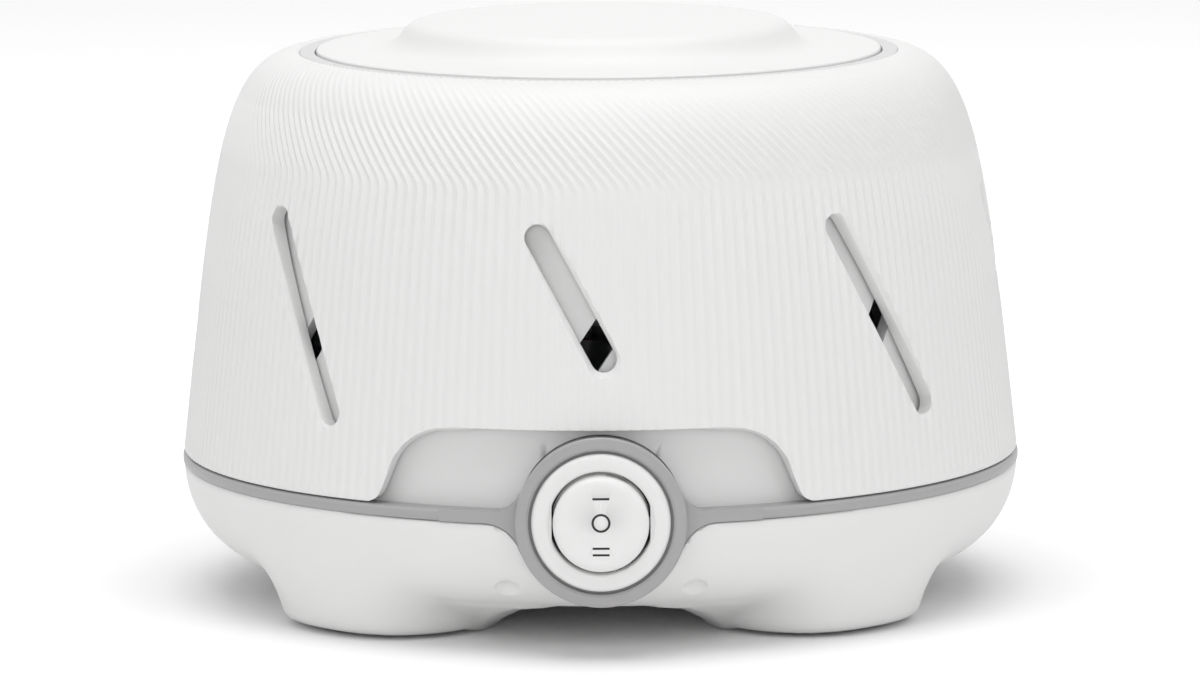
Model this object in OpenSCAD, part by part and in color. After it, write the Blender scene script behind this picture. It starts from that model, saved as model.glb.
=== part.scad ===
// White noise sound machine with a fan inside.
// A ribbed collar turns over a slotted housing, and the knob on top turns a shutter.
// Frame: origin on the surface it stands on, under the middle; front towards -Y; +Z up.
// All sizes are in millimetres.

/* [Casing] */
// Greatest diameter, over the trim ring
body_d = 146.2; // [138:0.2:156]
// Height of the base shell's upper edge
base_top = 22.85; // [22:0.05:24.5]
// Height of the flat underside between the feet
belly_h = 6.7; // [6:0.1:7.5]
// How far the underside's edge lies in from the trim ring
belly_inset = 12; // [11:0.5:14]
// Wall of the base shell
base_wall = 2.6; // [2:0.1:3]
// Height of the trim ring's shown face
trim_h = 2.05; // [1.5:0.05:3]
// Height of the collar's upper rim above the surface
rim_h = 94.75; // [91:0.25:102]
// Radius of the collar's rim, round the grey top ring
rim_r = 52.1; // [51:0.1:53.5]
// Wall of the collar
collar_wall = 3; // [2.4:0.1:3.4]
// Wall of the inner housing
housing_wall = 2.3; // [1.8:0.1:2.8]
// Thickness of the inner housing's top deck
deck_t = 2.4; // [2:0.1:3]

/* [Collar] */
// Width of a collar slot at its inner edge
slot_w = 4.4; // [3:0.1:5.5]
// Widening of a collar slot on each side, from the inner to the outer face
slot_flare = 1.2; // [0.5:0.1:1.6]
// Height of the middle of a slot's upper end
slot_top_h = 70; // [67:0.5:72]
// Height of the middle of a slot's lower end
slot_low_h = 38.8; // [37:0.1:45]
// Height of the lower end of the short front slot
front_slot_low_h = 49.8; // [47:0.1:55]
// Lean of the collar's slots from upright
slot_lean = 28.5; // [20:0.5:32]
// Half the width of the front window at its upper edge
window_top_half = 30; // [27:0.1:32]
// Half the width of the front window at the collar's lower edge
window_low_half = 35; // [33:0.1:38]
// Rounding of the front window's upper corners
window_corner = 9.5; // [5:0.5:12]
// Height of the front window's upper edge
window_h = 37.5; // [37:0.1:38.2]
// How far the collar stands turned at rest
collar_rest = -1.6; // [-4:0.1:4]

/* [Inner housing] */
// Width of a housing slot
vent_w = 5.1; // [3:0.1:6]
// Lean of the housing's slots from upright, the other way
vent_lean = 34; // [26:0.5:36]
// Height of the middle of the housing's slots
vent_mid_h = 52.8; // [51.5:0.1:54.5]
// Length of a housing slot between the middles of its ends
vent_len = 25; // [18:0.5:28]
// Length of the arc of a deck port
port_angle = 26; // [16:1:30]
// Radius of the middle of the deck ports
port_r = 27; // [24:0.5:30]
// Width of a deck port
port_w = 11; // [6:0.5:13]

/* [Top] */
// Width of the grey ring in the collar's rim
top_ring_w = 2.7; // [2:0.1:3.2]
// Thickness of the grey ring in the rim
top_ring_t = 2.05; // [1.6:0.05:2.4]
// Gap round the white disc
disc_gap = 0.28; // [0.25:0.01:0.4]
// Thickness of the knob's shell
dial_wall = 2.2; // [1.8:0.1:2.6]
// Radius of the raised knob's crown
knob_r = 33.8; // [30:0.1:36]
// Radius where the knob's foot runs out into the disc
knob_foot_r = 42; // [39:0.5:45]
// Height of the knob's crown above the disc
knob_rise = 4.85; // [3:0.05:8]
// Doming of the knob's crown
knob_dome = 0.55; // [0.2:0.05:1.2]
// Radius of the knob's stem
stem_r = 4; // [3.5:0.1:5]

/* [Feet] */
// Distance of each foot lobe from the middle
lobe_r = 50.5; // [48:0.1:51]
// Radius of a foot lobe
lobe_half = 18.9; // [17.5:0.1:19.5]
// Radius of a rubber foot
foot_r = 12; // [11.5:0.1:13]
// Thickness of a rubber foot
foot_t = 1.8; // [1.4:0.1:2.4]
// How far a rubber foot stands out of its lobe
foot_proud = 0.6; // [0.4:0.1:1]
// Distance of the casing screws from the middle
screw_ring_r = 55.5; // [55:0.1:56.5]

/* [Switch] */
// Outer radius of the grey bezel round the switch
bezel_r = 14.3; // [13.5:0.1:14.5]
// Radius of the recess that the switch sits in
recess_r = 12.1; // [11.9:0.05:12.6]
// Outer radius of the switch's white rim
switch_r = 11.6; // [11:0.05:11.7]
// Radius of the switch's barrel behind its rim
barrel_r = 10.2; // [9.8:0.1:10.6]
// Radius of the rocker
rocker_r = 8.35; // [7.8:0.05:8.6]
// Gap round the rocker
rocker_gap = 0.3; // [0.25:0.01:0.4]
// How far the rocker stands out of the switch's rim
rocker_proud = 2; // [1:0.1:2.5]

/* [Motor and fan] */
// Radius of the fan wheel
fan_r = 39; // [34:0.5:40]
// Height of the fan's blades
fan_h = 20; // [14:0.5:24]
// Blades on the fan wheel
fan_blades = 12; // [8:1:16]
// Thickness of the stack of motor plates
stack_t = 15; // [10:0.5:16]
// Height of the middle of the stack
stack_h = 25.5; // [24.5:0.1:26.5]
// Radius of the rotor
rotor_r = 12; // [10:0.1:13]
// Air gap between the rotor and the stack
air_gap = 0.35; // [0.3:0.05:0.6]
// Radius of the motor's shaft
shaft_r = 1.6; // [1.4:0.1:2.2]
// Running clearance of shafts and pins in their holes
run_fit = 0.05; // [0.02:0.01:0.08]
// Height of the sheet that carries the motor
plate_h = 43; // [42.5:0.1:44.5]
// Thickness of that sheet
plate_t = 1.2; // [1:0.1:1.6]
// Radius of that sheet
plate_r = 50; // [49:0.5:51]

/* [Mains inlet] */
// Height of the middle of the inlet
inlet_h = 15.1; // [14.9:0.1:15.3]
// Width of the inlet's flange
inlet_w = 26; // [25:0.5:28]

/* [Hidden] */

$fn = 96;
eps = 0.01;              // overlap of cutters past a face
seat_gap = 0.25;         // shown gap between parts that move on each other
quarter = [45, 135, 225, 315];
slot_count = 8;          // slots round the collar, and round the housing behind it
port_count = 6;          // deck ports under the knob
dial_travel = 30;        // degrees from the ports open to the ports shut

// ---- outlines that several parts share ----
trim_r = body_d / 2;
trim_top = base_top + trim_h;
collar_foot = trim_top + seat_gap;
collar_r = trim_r - 0.15;
base_r = trim_r - 0.2;
belly_r = trim_r - belly_inset;
wall_h = rim_h - collar_foot;
housing_inset = collar_wall + 0.5;
curve_steps = 22;

// Control points of the collar's outer curve, from its foot to its rim
collar_curve = [
    [collar_r, collar_foot],
    [collar_r - wall_h * 0.08, collar_foot + wall_h * 0.716],
    [rim_r + wall_h * 0.2, rim_h - wall_h * 0.007],
    [rim_r, rim_h]];

// Control points of the base's outer curve, from its upper edge to the underside
bowl_h = base_top - belly_h;
base_curve = [
    [base_r, base_top],
    [base_r - bowl_h * 0.036, base_top - bowl_h * 0.51],
    [belly_r + bowl_h * 0.48, belly_h + bowl_h * 0.085],
    [belly_r, belly_h]];

function bezier(p, t) = pow(1 - t, 3) * p[0] + 3 * pow(1 - t, 2) * t * p[1]
    + 3 * (1 - t) * t * t * p[2] + pow(t, 3) * p[3];
function heading(p, t) = let (g = pow(1 - t, 2) * (p[1] - p[0])
    + 2 * (1 - t) * t * (p[2] - p[1]) + t * t * (p[3] - p[2])) g / norm(g);

// The curve moved sideways by d: to its left, seen along it
function beside(p, t, d) = let (g = heading(p, t)) bezier(p, t) + d * [-g[1], g[0]];
function outline(p, d = 0, n = curve_steps) = [for (i = [0:n]) beside(p, i / n, d)];
function reversed(v) = [for (i = [len(v) - 1:-1:0]) v[i]];

// Radius at height h of an outline whose points rise, or fall, in height
function radius_at(v, h) = let (
    hit = [for (i = [0:len(v) - 2])
        if ((v[i][1] - h) * (v[i + 1][1] - h) <= 0 && v[i][1] != v[i + 1][1])
            v[i][0] + (v[i + 1][0] - v[i][0]) * (h - v[i][1]) / (v[i + 1][1] - v[i][1])]) hit[0];

collar_out = outline(collar_curve);
collar_in = outline(collar_curve, collar_wall);
housing_out = outline(collar_curve, housing_inset);
housing_in = outline(collar_curve, housing_inset + housing_wall);
base_out = outline(base_curve);
base_in = outline(base_curve, -base_wall);

// ---- derived places ----
bezel_face = trim_r + 0.8;                       // the bezel's face, from the middle
bezel_h = trim_top - trim_h * 0.75;              // height of the switch's middle
bezel_back = trim_r - 11;                        // the back end of the bezel's tube
bezel_tube_r = bezel_r - 0.5;                    // clear of the window's upper edge
flange_t = bezel_face - trim_r - 0.05;           // the bezel's flange, in front of the collar
recess_t = 1.4;                                  // depth of the recess for the switch's rim
switch_face = bezel_face + 0.5;
pivot_y = switch_face - 2;                       // the rocker's pivot lies this far from the middle
rocker_face = switch_face + rocker_proud;
rocker_sweep_r = rocker_r + 0.1;                 // radius of the rocker's curved edges about its pivot
trunnion_r = 1.2;
flat_half = rocker_r - 0.45;                     // half the rocker's width over its side flats

ring_in = rim_r - top_ring_w;                    // inner radius of the grey top ring
disc_r = ring_in - disc_gap;
disc_h = rim_h + 0.3;                            // height of the disc's upper face
disc_under = disc_h - dial_wall;
seat_h = rim_h - 0.15 - top_ring_t;              // ledge under the grey top ring
ledge_t = 2;
ledge_in = ring_in - 2.6;
glide_t = 0.5;
deck_top = seat_h - ledge_t - 0.3 - glide_t;
deck_low = deck_top - deck_t;
spigot_r = ledge_in - 0.3;
bush_top = disc_under - 0.3;
washer_t = 0.4;
shutter_top = deck_low - washer_t - 0.2;
shutter_t = 1.6;
shutter_r = port_r + port_w / 2 + 4;
stem_low_r = stem_r - 1;
stop_pin_r = 1.5;                                // pin under the deck that stops the shutter
stop_at_r = shutter_r - 0.3;
stop_play = (stop_pin_r + 0.3) / stop_at_r * 180 / PI;

screw_r = 1.75;                                  // thread radius of the casing screws
screw_head_r = 3.1;
screw_head_t = 2;
screw_seat_h = foot_proud + 4.4;                 // underside of the lobe's floor that a head bears on
screw_top = trim_top + 14;
boss_r = 4.2;
inner_boss_top = screw_top + 3;

lobe_floor = foot_proud + 2.6;
lobe_edge_h = belly_h + bowl_h * 0.46;           // where the lobes run out into the bowl's side
lobe_edge_r = radius_at(base_out, lobe_edge_h);
post_x = 38;                                     // places of the posts under the motor's sheet
post_y = 20;
posts = [[post_x, post_y], [-post_x, post_y], [-post_x, -post_y], [post_x, -post_y]];
post_r = 3.6;
grommet_below = 2.6;
grommet_h = 2 * grommet_below + plate_t;
post_top = plate_h - grommet_below;
grommet_r = 6.6;
grommet_neck_r = 4.6;
plate_screw_r = 1.5;

stack_low = stack_h - stack_t / 2;
stack_top = stack_h + stack_t / 2;
stack_half = rotor_r + air_gap + 9.5;            // half the width of the stack
bolt_x = rotor_r + air_gap + 6.4;                // places of the motor's bolts
bolt_r = 1.5;
nut_t = 2.4;
core_w = 9;                                      // width of the leg that holds the coil
coil_t = 5.2;                                    // winding around the bobbin
limb_w = 7;                                      // width of the limbs out to that leg
shade_y = 5;                                     // the shading rings lie beyond the brackets' edges
core_y = stack_half + core_w / 2 + coil_t + 1.2; // distance of that leg from the shaft
coil_half_x = stack_half - limb_w - 0.6;
bobbin_t = 1.2;
bracket_t = 1.5;
bracket_rise = 4.2;                              // how far a bracket stands off the stack
bracket_half = rotor_r + air_gap + 2.4;          // half the length of a bracket's bridge
bush_r = 3.6;
upper_bridge = stack_top + bracket_rise;
lower_bridge = stack_low - bracket_rise;
upper_bush_low = upper_bridge - bracket_t - 0.8;
lower_bush_top = lower_bridge + bracket_t + 1;
rotor_inset = 0.5;                               // the rotor's ends lie this far inside the stack
shaft_low = lower_bridge - 0.65;
fan_low = plate_h + plate_t + 7.2;
fan_top = fan_low + 1.6 + fan_h;
shaft_top = fan_top - 2;

inlet_face = base_r - 6.9;
pocket_y = inlet_face - 1.4;
pin_pitch = 8.6;                                 // the figure-8 mains pattern
inlet_pin_r = 1.2;
inlet_half_x = inlet_w / 2;
inlet_half_z = 5.5;
inlet_body_x = inlet_half_x - 1.4;
inlet_body_z = 5;
inlet_back = pocket_y - 14.5;
socket_r = 4.1;
socket_floor = inlet_back + 3;
pin_tip = inlet_face - 2.4;

white = "#f3f3f1";
grey = "#a9a7a8";
steel = "#b9bdc2";
copper = "#b5652e";

// ---- shared shapes ----
// Copies its children in front of the four foot lobes
module at_quarters(r) {
    for (a = quarter) rotate([0, 0, a]) translate([r, 0, 0]) children();
}

// A cylinder along -Y whose ends lie y0 and y1 in front of the middle, at height h
module forward(r, y0, y1, h = bezel_h, x = 0) {
    translate([x, -y0, h]) rotate([90, 0, 0]) cylinder(r = r, h = y1 - y0);
}

module tube(r_out, r_in, h) {
    difference() {
        cylinder(r = r_out, h = h);
        translate([0, 0, -eps]) cylinder(r = r_in, h = h + 2 * eps);
    }
}

// A slot's cutter in the plane x,z, with round ends, its inner face at y = 0 and its outer at depth.
// It runs from [x0, z0] to [x1, z1] and is w wide inside and w + 2 * flare outside.
module slot_cutter(from, to, w, flare, depth) {
    run = to - from;
    end_r = w / 2 + 0.02;
    for (end = [from, to])
        translate([end[0], 0, end[1]]) rotate([90, 0, 0]) rotate_extrude()
            polygon([[0, -depth], [end_r, -depth], [end_r, 0], [end_r + flare, depth], [0, depth]]);
    translate([from[0], 0, from[1]]) rotate([0, -atan2(run[1], run[0]), 0]) rotate([90, 0, 90])
        linear_extrude(norm(run))
            polygon([[depth, -w / 2], [0, -w / 2], [-depth, -w / 2 - flare],
                [-depth, w / 2 + flare], [0, w / 2], [depth, w / 2]]);
}

// ---- base ----
// A foot lobe about its own axis: a steep side that meets the ground in a small round
module lobe_pad() {
    r = lobe_half;
    top = belly_h;
    edge = [for (a = [0:15:75]) [r - 3 + 2.2 * sin(a), foot_proud + 1.4 * (1 - cos(a))]];
    side = [[r - 0.5, foot_proud + 1.2], [r, top * 0.43], [r + 0.5, top * 0.69], [r + 1.2, top * 0.93],
        [r + 2.1, top * 1.2], [r + 3.6, top * 1.6], [r + 5.2, lobe_edge_h]];
    rotate_extrude() polygon(concat([[0, foot_proud]], edge, side, [[0, lobe_edge_h]]));
}

// The cove by which a lobe runs out under the belly, on the side of the middle
module lobe_cove() {
    r = lobe_half;
    top = belly_h + eps;
    rotate_extrude() polygon([[0, foot_proud + 0.2], [r - 1.1, foot_proud + 0.2],
        [r + 1.6, top * 0.3], [r + 4.6, top * 0.52], [r + 8, top * 0.74], [r + 12, top * 0.92],
        [r + 17, top], [0, top]]);
}

// What the lobes stay inside: nearly upright outside, and a cone under the belly for the coves
module lobe_envelope() {
    rotate_extrude() polygon([[0, 0], [lobe_edge_r - 3.4, 0], [lobe_edge_r - 3.2, foot_proud + 0.2],
        [lobe_edge_r - 1.9, foot_proud + 1.6], [lobe_edge_r - 1.2, belly_h * 0.75],
        [lobe_edge_r - 0.6, belly_h * 1.4], [lobe_edge_r, lobe_edge_h], [0, lobe_edge_h]]);
}

module cove_envelope() {
    rotate_extrude()
        polygon([[0, 0], [belly_r - 12, 0], [belly_r + 0.5, belly_h + eps], [0, belly_h + eps]]);
}

// The hollow over each lobe's floor, open to the hollow of the bowl
module lobe_hollow() intersection() {
    cylinder(r = lobe_edge_r - 3.2 - base_wall, h = belly_h + base_wall + 1);
    at_quarters(lobe_r) translate([0, 0, lobe_floor])
        cylinder(r = lobe_half - base_wall - 0.8, h = belly_h + base_wall + 1);
}

module bowl_outer() {
    rotate_extrude() polygon(concat([[0, base_top]], base_out, [[0, belly_h]]));
}

module dimples() {
    dimple_h = belly_h + bowl_h * 0.26;
    dimple_r = radius_at(base_out, dimple_h);
    for (a = [0:90:270]) for (s = [-13.3, 13.3])
        rotate([0, 0, a + s]) translate([dimple_r + 1.1, 0, dimple_h - 0.9])
            rotate([0, 130, 0]) translate([0, 0, -1]) cylinder(r = 1.7, h = 3, center = true);
}

module base_housing() color(white) difference() {
    union() {
        difference() {
            union() {
                bowl_outer();
                intersection() {
                    lobe_envelope();
                    at_quarters(lobe_r) lobe_pad();
                }
                intersection() {
                    cove_envelope();
                    at_quarters(lobe_r) lobe_cove();
                }
            }
            // hollow of the bowl
            rotate_extrude() polygon(concat([[0, base_top + 1], [base_r - base_wall, base_top + 1]],
                base_in, [[0, belly_h + base_wall]]));
            lobe_hollow();
        }
        intersection() {
            union() {
                at_quarters(screw_ring_r) translate([0, 0, foot_proud + 0.5])
                    cylinder(r = boss_r, h = trim_top - foot_proud - 0.5);
                // web from each boss to the wall
                for (a = quarter) rotate([0, 0, a]) translate([screw_ring_r, -1, lobe_floor])
                    cube([base_r - screw_ring_r, 2, base_top - 4 - lobe_floor]);
                for (p = posts) translate([p[0], p[1], belly_h + 0.5])
                    cylinder(r = post_r, h = post_top - belly_h - 0.5);
                // frame round the inlet's cut-out
                translate([-inlet_half_x - 3, inlet_back + 8, belly_h + 0.5])
                    cube([2 * inlet_half_x + 6, base_r - inlet_back - 8, base_top - belly_h - 0.5]);
            }
            union() {
                bowl_outer();
                at_quarters(lobe_r) cylinder(r = lobe_half - 3.4, h = belly_h + base_wall);
                cylinder(r = belly_r + 1, h = post_top);
            }
        }
    }
    // seat of each rubber foot, and the sunk head and shank hole of each casing screw
    at_quarters(lobe_r) translate([0, 0, -eps]) cylinder(r = foot_r + 0.1, h = foot_t + eps);
    at_quarters(screw_ring_r) {
        cylinder(r = screw_head_r + 0.3, h = screw_seat_h);
        cylinder(r = screw_r + 0.15, h = trim_top + 1);
    }
    for (p = posts) translate([p[0], p[1], post_top - 9]) cylinder(r = plate_screw_r + run_fit, h = 10);
    // room for the bezel's tube
    forward(bezel_r + 0.2, bezel_back - 4, bezel_face + 5);
    // pocket and cut-out of the inlet
    translate([-inlet_half_x - 0.3, pocket_y, inlet_h - inlet_half_z - 0.3])
        cube([2 * inlet_half_x + 0.6, 12, 2 * inlet_half_z + 0.6]);
    translate([-inlet_body_x - 0.2, inlet_back - 2, inlet_h - inlet_body_z - 0.2])
        cube([2 * inlet_body_x + 0.4, 20, 2 * inlet_body_z + 0.4]);
    dimples();
}

module rubber_feet() color("#3a3a3a") at_quarters(lobe_r) rotate_extrude()
    polygon([[0, 0], [foot_r - 0.5, 0], [foot_r, 0.5], [foot_r, foot_t], [0, foot_t]]);

module casing_screws() color(steel) at_quarters(screw_ring_r) translate([0, 0, screw_seat_h]) difference() {
    union() {
        translate([0, 0, -screw_head_t]) cylinder(r = screw_head_r, h = screw_head_t);
        cylinder(r = screw_r, h = screw_top - screw_seat_h);
    }
    // cross recess
    for (a = [0, 90]) rotate([0, 0, a])
        translate([-1.7, -0.35, -screw_head_t - eps]) cube([3.4, 0.7, 1.1]);
}

// ---- trim ring with the switch's bezel ----
// A web that fills the corner between the bezel and the band; up is 1 above the band and -1 below it
module bezel_web(edge_h, up, fillet) {
    reach = bezel_r + fillet;
    rise = edge_h + up * fillet - bezel_h;
    run = sqrt(reach * reach - rise * rise);
    difference() {
        polygon([[-run, edge_h], [-run * bezel_r / reach, bezel_h + rise * bezel_r / reach],
            [0, bezel_h], [run * bezel_r / reach, bezel_h + rise * bezel_r / reach], [run, edge_h],
            [0, edge_h - up * 1.5]]);
        for (s = [-1, 1]) translate([s * run, edge_h + up * fillet]) circle(r = fillet);
    }
}

module trim_ring() color(grey) difference() {
    lip_r = trim_r - housing_inset - housing_wall - 0.4;
    low_lip_r = base_r - base_wall - 0.3;
    union() {
        // band, with a lip down into the base and a lip up into the housing
        rotate_extrude() polygon([[lip_r - 1.6, base_top], [lip_r, base_top],
            [lip_r, base_top - 1.8], [low_lip_r, base_top - 1.8],
            [low_lip_r, base_top], [trim_r - 0.5, base_top],
            [trim_r, base_top + 0.4], [trim_r, trim_top - 0.7],
            [trim_r - 0.2, trim_top - 0.3], [trim_r - 0.7, trim_top],
            [lip_r, trim_top], [lip_r, trim_top + 2], [lip_r - 1.6, trim_top + 2]]);
        forward(bezel_tube_r, bezel_back, bezel_face - 0.4);
        forward(bezel_r, bezel_face - flange_t, bezel_face - 0.35);
        translate([0, -bezel_face + 0.35, bezel_h]) rotate([90, 0, 0])
            cylinder(r1 = bezel_r, r2 = bezel_r - 0.35, h = 0.35);
        intersection() {
            rotate([90, 0, 0]) linear_extrude(trim_r + 1) bezel_web(trim_top, 1, 3.6);
            translate([0, 0, trim_top - 1]) tube(trim_r, trim_r - housing_inset + 0.35, bezel_r);
        }
        intersection() {
            rotate([90, 0, 0]) linear_extrude(trim_r + 1) bezel_web(base_top, -1, 6.5);
            difference() {
                translate([0, 0, base_top - bezel_r]) cylinder(r = trim_r, h = bezel_r + 1);
                bowl_outer();
                cylinder(r = low_lip_r - 0.1, h = base_top + 2);
            }
        }
    }
    forward(recess_r, bezel_face - recess_t, bezel_face + 1);
    forward(barrel_r + 0.15, bezel_back - 12, bezel_face + 1);
    // the casing screws' bosses and the inlet's frame pass inside the ring
    at_quarters(screw_ring_r) cylinder(r = boss_r + 0.2, h = rim_h);
    translate([-inlet_half_x - 3.3, inlet_back, 0]) cube([2 * inlet_half_x + 6.6, 30, base_top]);
}

// ---- inner housing ----
module housing_slots() {
    mid_r = radius_at(housing_out, vent_mid_h);
    half = vent_len / 2 * [sin(vent_lean), cos(vent_lean)];
    for (k = [0:slot_count - 1]) rotate([0, 0, k * 360 / slot_count])
        translate([0, -mid_r + 3, vent_mid_h])
            slot_cutter(-half, half, vent_w, 0, 8);
}

module deck_ports() {
    for (k = [0:port_count - 1]) rotate([0, 0, (k + 0.5) * 360 / port_count - port_angle / 2])
        rotate_extrude(angle = port_angle) translate([port_r - port_w / 2, 0]) square([port_w, rim_h]);
}

module inner_housing() color(white) difference() {
    union() {
        rotate_extrude() {
            intersection() {
                polygon(concat(housing_out, reversed(housing_in)));
                translate([0, trim_top]) square([trim_r, deck_top - trim_top]);
            }
            intersection() {
                polygon(concat(housing_out, [[0, rim_h], [0, collar_foot]]));
                translate([0, deck_low]) square([trim_r, deck_t]);
            }
            translate([0, deck_top - eps]) square([stem_r + 4, bush_top - deck_top + eps]);
            translate([spigot_r - 2, deck_top - eps]) square([2, seat_h - deck_top - 0.3]);
        }
        // the pin that stops the shutter
        translate([stop_at_r, 0, shutter_top - shutter_t])
            cylinder(r = stop_pin_r, h = deck_low - shutter_top + shutter_t + eps);
        intersection() {
            union() {
                at_quarters(screw_ring_r) translate([0, 0, trim_top])
                    cylinder(r = boss_r, h = inner_boss_top - trim_top);
                for (a = quarter) rotate([0, 0, a]) translate([screw_ring_r, -1, trim_top + 2.3])
                    cube([trim_r - screw_ring_r, 2, inner_boss_top - trim_top - 2.3]);
            }
            rotate_extrude() polygon(concat(
                [[0, trim_top], [radius_at(housing_out, trim_top + 1), trim_top]],
                [for (p = housing_out) if (p[1] > trim_top + 1) p], [[0, rim_h]]));
        }
    }
    housing_slots();
    translate([0, 0, deck_low - eps]) deck_ports();
    translate([0, 0, deck_low - 1]) cylinder(r = stem_r + run_fit, h = rim_h);
    at_quarters(screw_ring_r) cylinder(r = screw_r + run_fit, h = screw_top + 0.5);
    forward(bezel_r + 0.2, bezel_back - 4, trim_r + 5);
}

module glide_ring() color("#d9d4c8") translate([0, 0, deck_top])
    tube(spigot_r + 4.2, spigot_r + 0.4, glide_t);

// ---- collar ----
// The slot's line leans over the wall, so its ends lie to the sides of its middle
module collar_slots() {
    mid_h = (slot_top_h + slot_low_h) / 2;
    wall_lean = atan2(radius_at(collar_in, slot_low_h) - radius_at(collar_in, slot_top_h),
        slot_top_h - slot_low_h);
    for (k = [0:slot_count - 1]) {
        low_h = k == 0 ? front_slot_low_h : slot_low_h;
        rotate([0, 0, k * 360 / slot_count]) translate([0, -radius_at(collar_in, mid_h), mid_h])
            rotate([-wall_lean, 0, 0]) slot_cutter(
                [(mid_h - low_h) * tan(slot_lean), low_h - mid_h],
                [(mid_h - slot_top_h) * tan(slot_lean), slot_top_h - mid_h],
                slot_w, slot_flare, collar_wall + 0.6);
    }
}

// Points of a round of radius r at the corner v between the lines to a and to b
function corner_arc(a, v, b, r, n = 8) = let (
    ua = (a - v) / norm(a - v), ub = (b - v) / norm(b - v),
    half = acos(ua * ub) / 2,
    middle = v + (ua + ub) / norm(ua + ub) * r / sin(half),
    from = v + ua * r / tan(half) - middle, to = v + ub * r / tan(half) - middle,
    start = atan2(from[1], from[0]),
    turn = atan2(from[0] * to[1] - from[1] * to[0], from * to))
    [for (i = [0:n]) middle + r * [cos(start + turn * i / n), sin(start + turn * i / n)]];

// Half of the front window: a leaning side with round corners above and below
module window_side(s) {
    middle = [0, window_h];
    high = [window_top_half, window_h];
    low = [window_low_half, collar_foot];
    away = [window_low_half + 20, collar_foot];
    arc_low = corner_arc(high, low, away, 3.2);
    points = concat([middle], corner_arc(middle, high, low, window_corner), arc_low,
        [[arc_low[8][0], collar_foot - 2], [0, collar_foot - 2]]);
    polygon([for (p = points) [s * p[0], p[1]]]);
}

module front_window() {
    rotate([90, 0, 0]) linear_extrude(trim_r + 5) for (s = [-1, 1]) window_side(s);
}

module collar() color(white) rotate([0, 0, collar_rest]) difference() {
    rotate_extrude() {
        intersection() {
            polygon(concat(collar_out, reversed(collar_in)));
            translate([rim_r, collar_foot]) square([trim_r, wall_h]);
        }
        translate([ledge_in, seat_h - ledge_t]) square([rim_r + 4 - ledge_in, ledge_t]);
    }
    collar_slots();
    front_window();
}

module collar_top_ring() color(grey) rotate([0, 0, collar_rest]) translate([0, 0, seat_h])
    rotate_extrude() polygon([[ring_in, 0], [rim_r - 0.05, 0], [rim_r - 0.05, top_ring_t - 0.2],
        [rim_r - 0.25, top_ring_t], [ring_in + 0.2, top_ring_t], [ring_in, top_ring_t - 0.2]]);

// ---- top dial and what turns with it ----
knob_flank = [[knob_foot_r, disc_h], [knob_foot_r - 5.5, disc_h], [knob_r + 1.6, disc_h + knob_rise * 0.22],
    [knob_r, disc_h + knob_rise * 0.64]];
knob_edge = [[knob_r, disc_h + knob_rise * 0.64], [knob_r - 0.8, disc_h + knob_rise * 0.86],
    [knob_r - 1.7, disc_h + knob_rise * 0.97], [knob_r - 3.4, disc_h + knob_rise]];
knob_top = [[knob_r - 3.4, disc_h + knob_rise], [knob_r * 0.6, disc_h + knob_rise + knob_dome * 0.8],
    [knob_r * 0.3, disc_h + knob_rise + knob_dome], [0, disc_h + knob_rise + knob_dome]];
dial_out = concat(outline(knob_flank, 0, 10), outline(knob_edge, 0, 6), outline(knob_top, 0, 8));
dial_in = [for (c = [knob_flank, knob_edge, knob_top]) for (i = [1:6]) beside(c, i / 6, dial_wall)];

module top_dial() color(white) difference() {
    union() {
        rotate_extrude() polygon(concat(
            [[disc_r, disc_under], [disc_r, disc_h - 0.4], [disc_r - 0.4, disc_h]], dial_out,
            reversed([for (p = dial_in) [max(p[0], 0), max(p[1], disc_under)]]),
            [[knob_foot_r, disc_under]]));
        translate([0, 0, disc_under]) cylinder(r = stem_r + 4, h = knob_rise + dial_wall);
        translate([0, 0, shutter_top]) cylinder(r = stem_r, h = disc_under - shutter_top + 1);
        translate([0, 0, shutter_top - shutter_t]) cylinder(r = stem_low_r, h = shutter_t + 1);
        // ribs from the hub to the knob's rim
        for (a = [0:60:300]) rotate([0, 0, a]) translate([stem_r + 3, -0.8, disc_under])
            cube([knob_r - stem_r - 4.5, 1.6, knob_rise - 1]);
    }
    translate([0, 0, shutter_top - shutter_t - 1]) cylinder(r = 1.3, h = 10);
}

module shutter() color("#e9e6df") translate([0, 0, shutter_top - shutter_t]) difference() {
    cylinder(r = shutter_r, h = shutter_t);
    translate([0, 0, -eps]) cylinder(r = stem_low_r + run_fit, h = shutter_t + 1);
    translate([0, 0, -eps]) deck_ports();
    // notch that the deck's stop pin runs in
    rotate([0, 0, -dial_travel - stop_play]) rotate_extrude(angle = dial_travel + 2 * stop_play)
        translate([stop_at_r - stop_pin_r - 0.3, -1]) square([stop_pin_r + 4, shutter_t + 2]);
}

module dial_washer() color(steel) translate([0, 0, shutter_top])
    tube(stem_r + 5, stem_r + 0.3, washer_t);

module dial_screw() color(steel) translate([0, 0, shutter_top - shutter_t]) {
    translate([0, 0, -2]) cylinder(r = stem_low_r + 2, h = 2);
    cylinder(r = 1.3 - run_fit, h = 8);
}

// ---- switch ----
module facing() {
    translate([0, 0, bezel_h]) rotate([90, 0, 0]) children();
}

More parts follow.
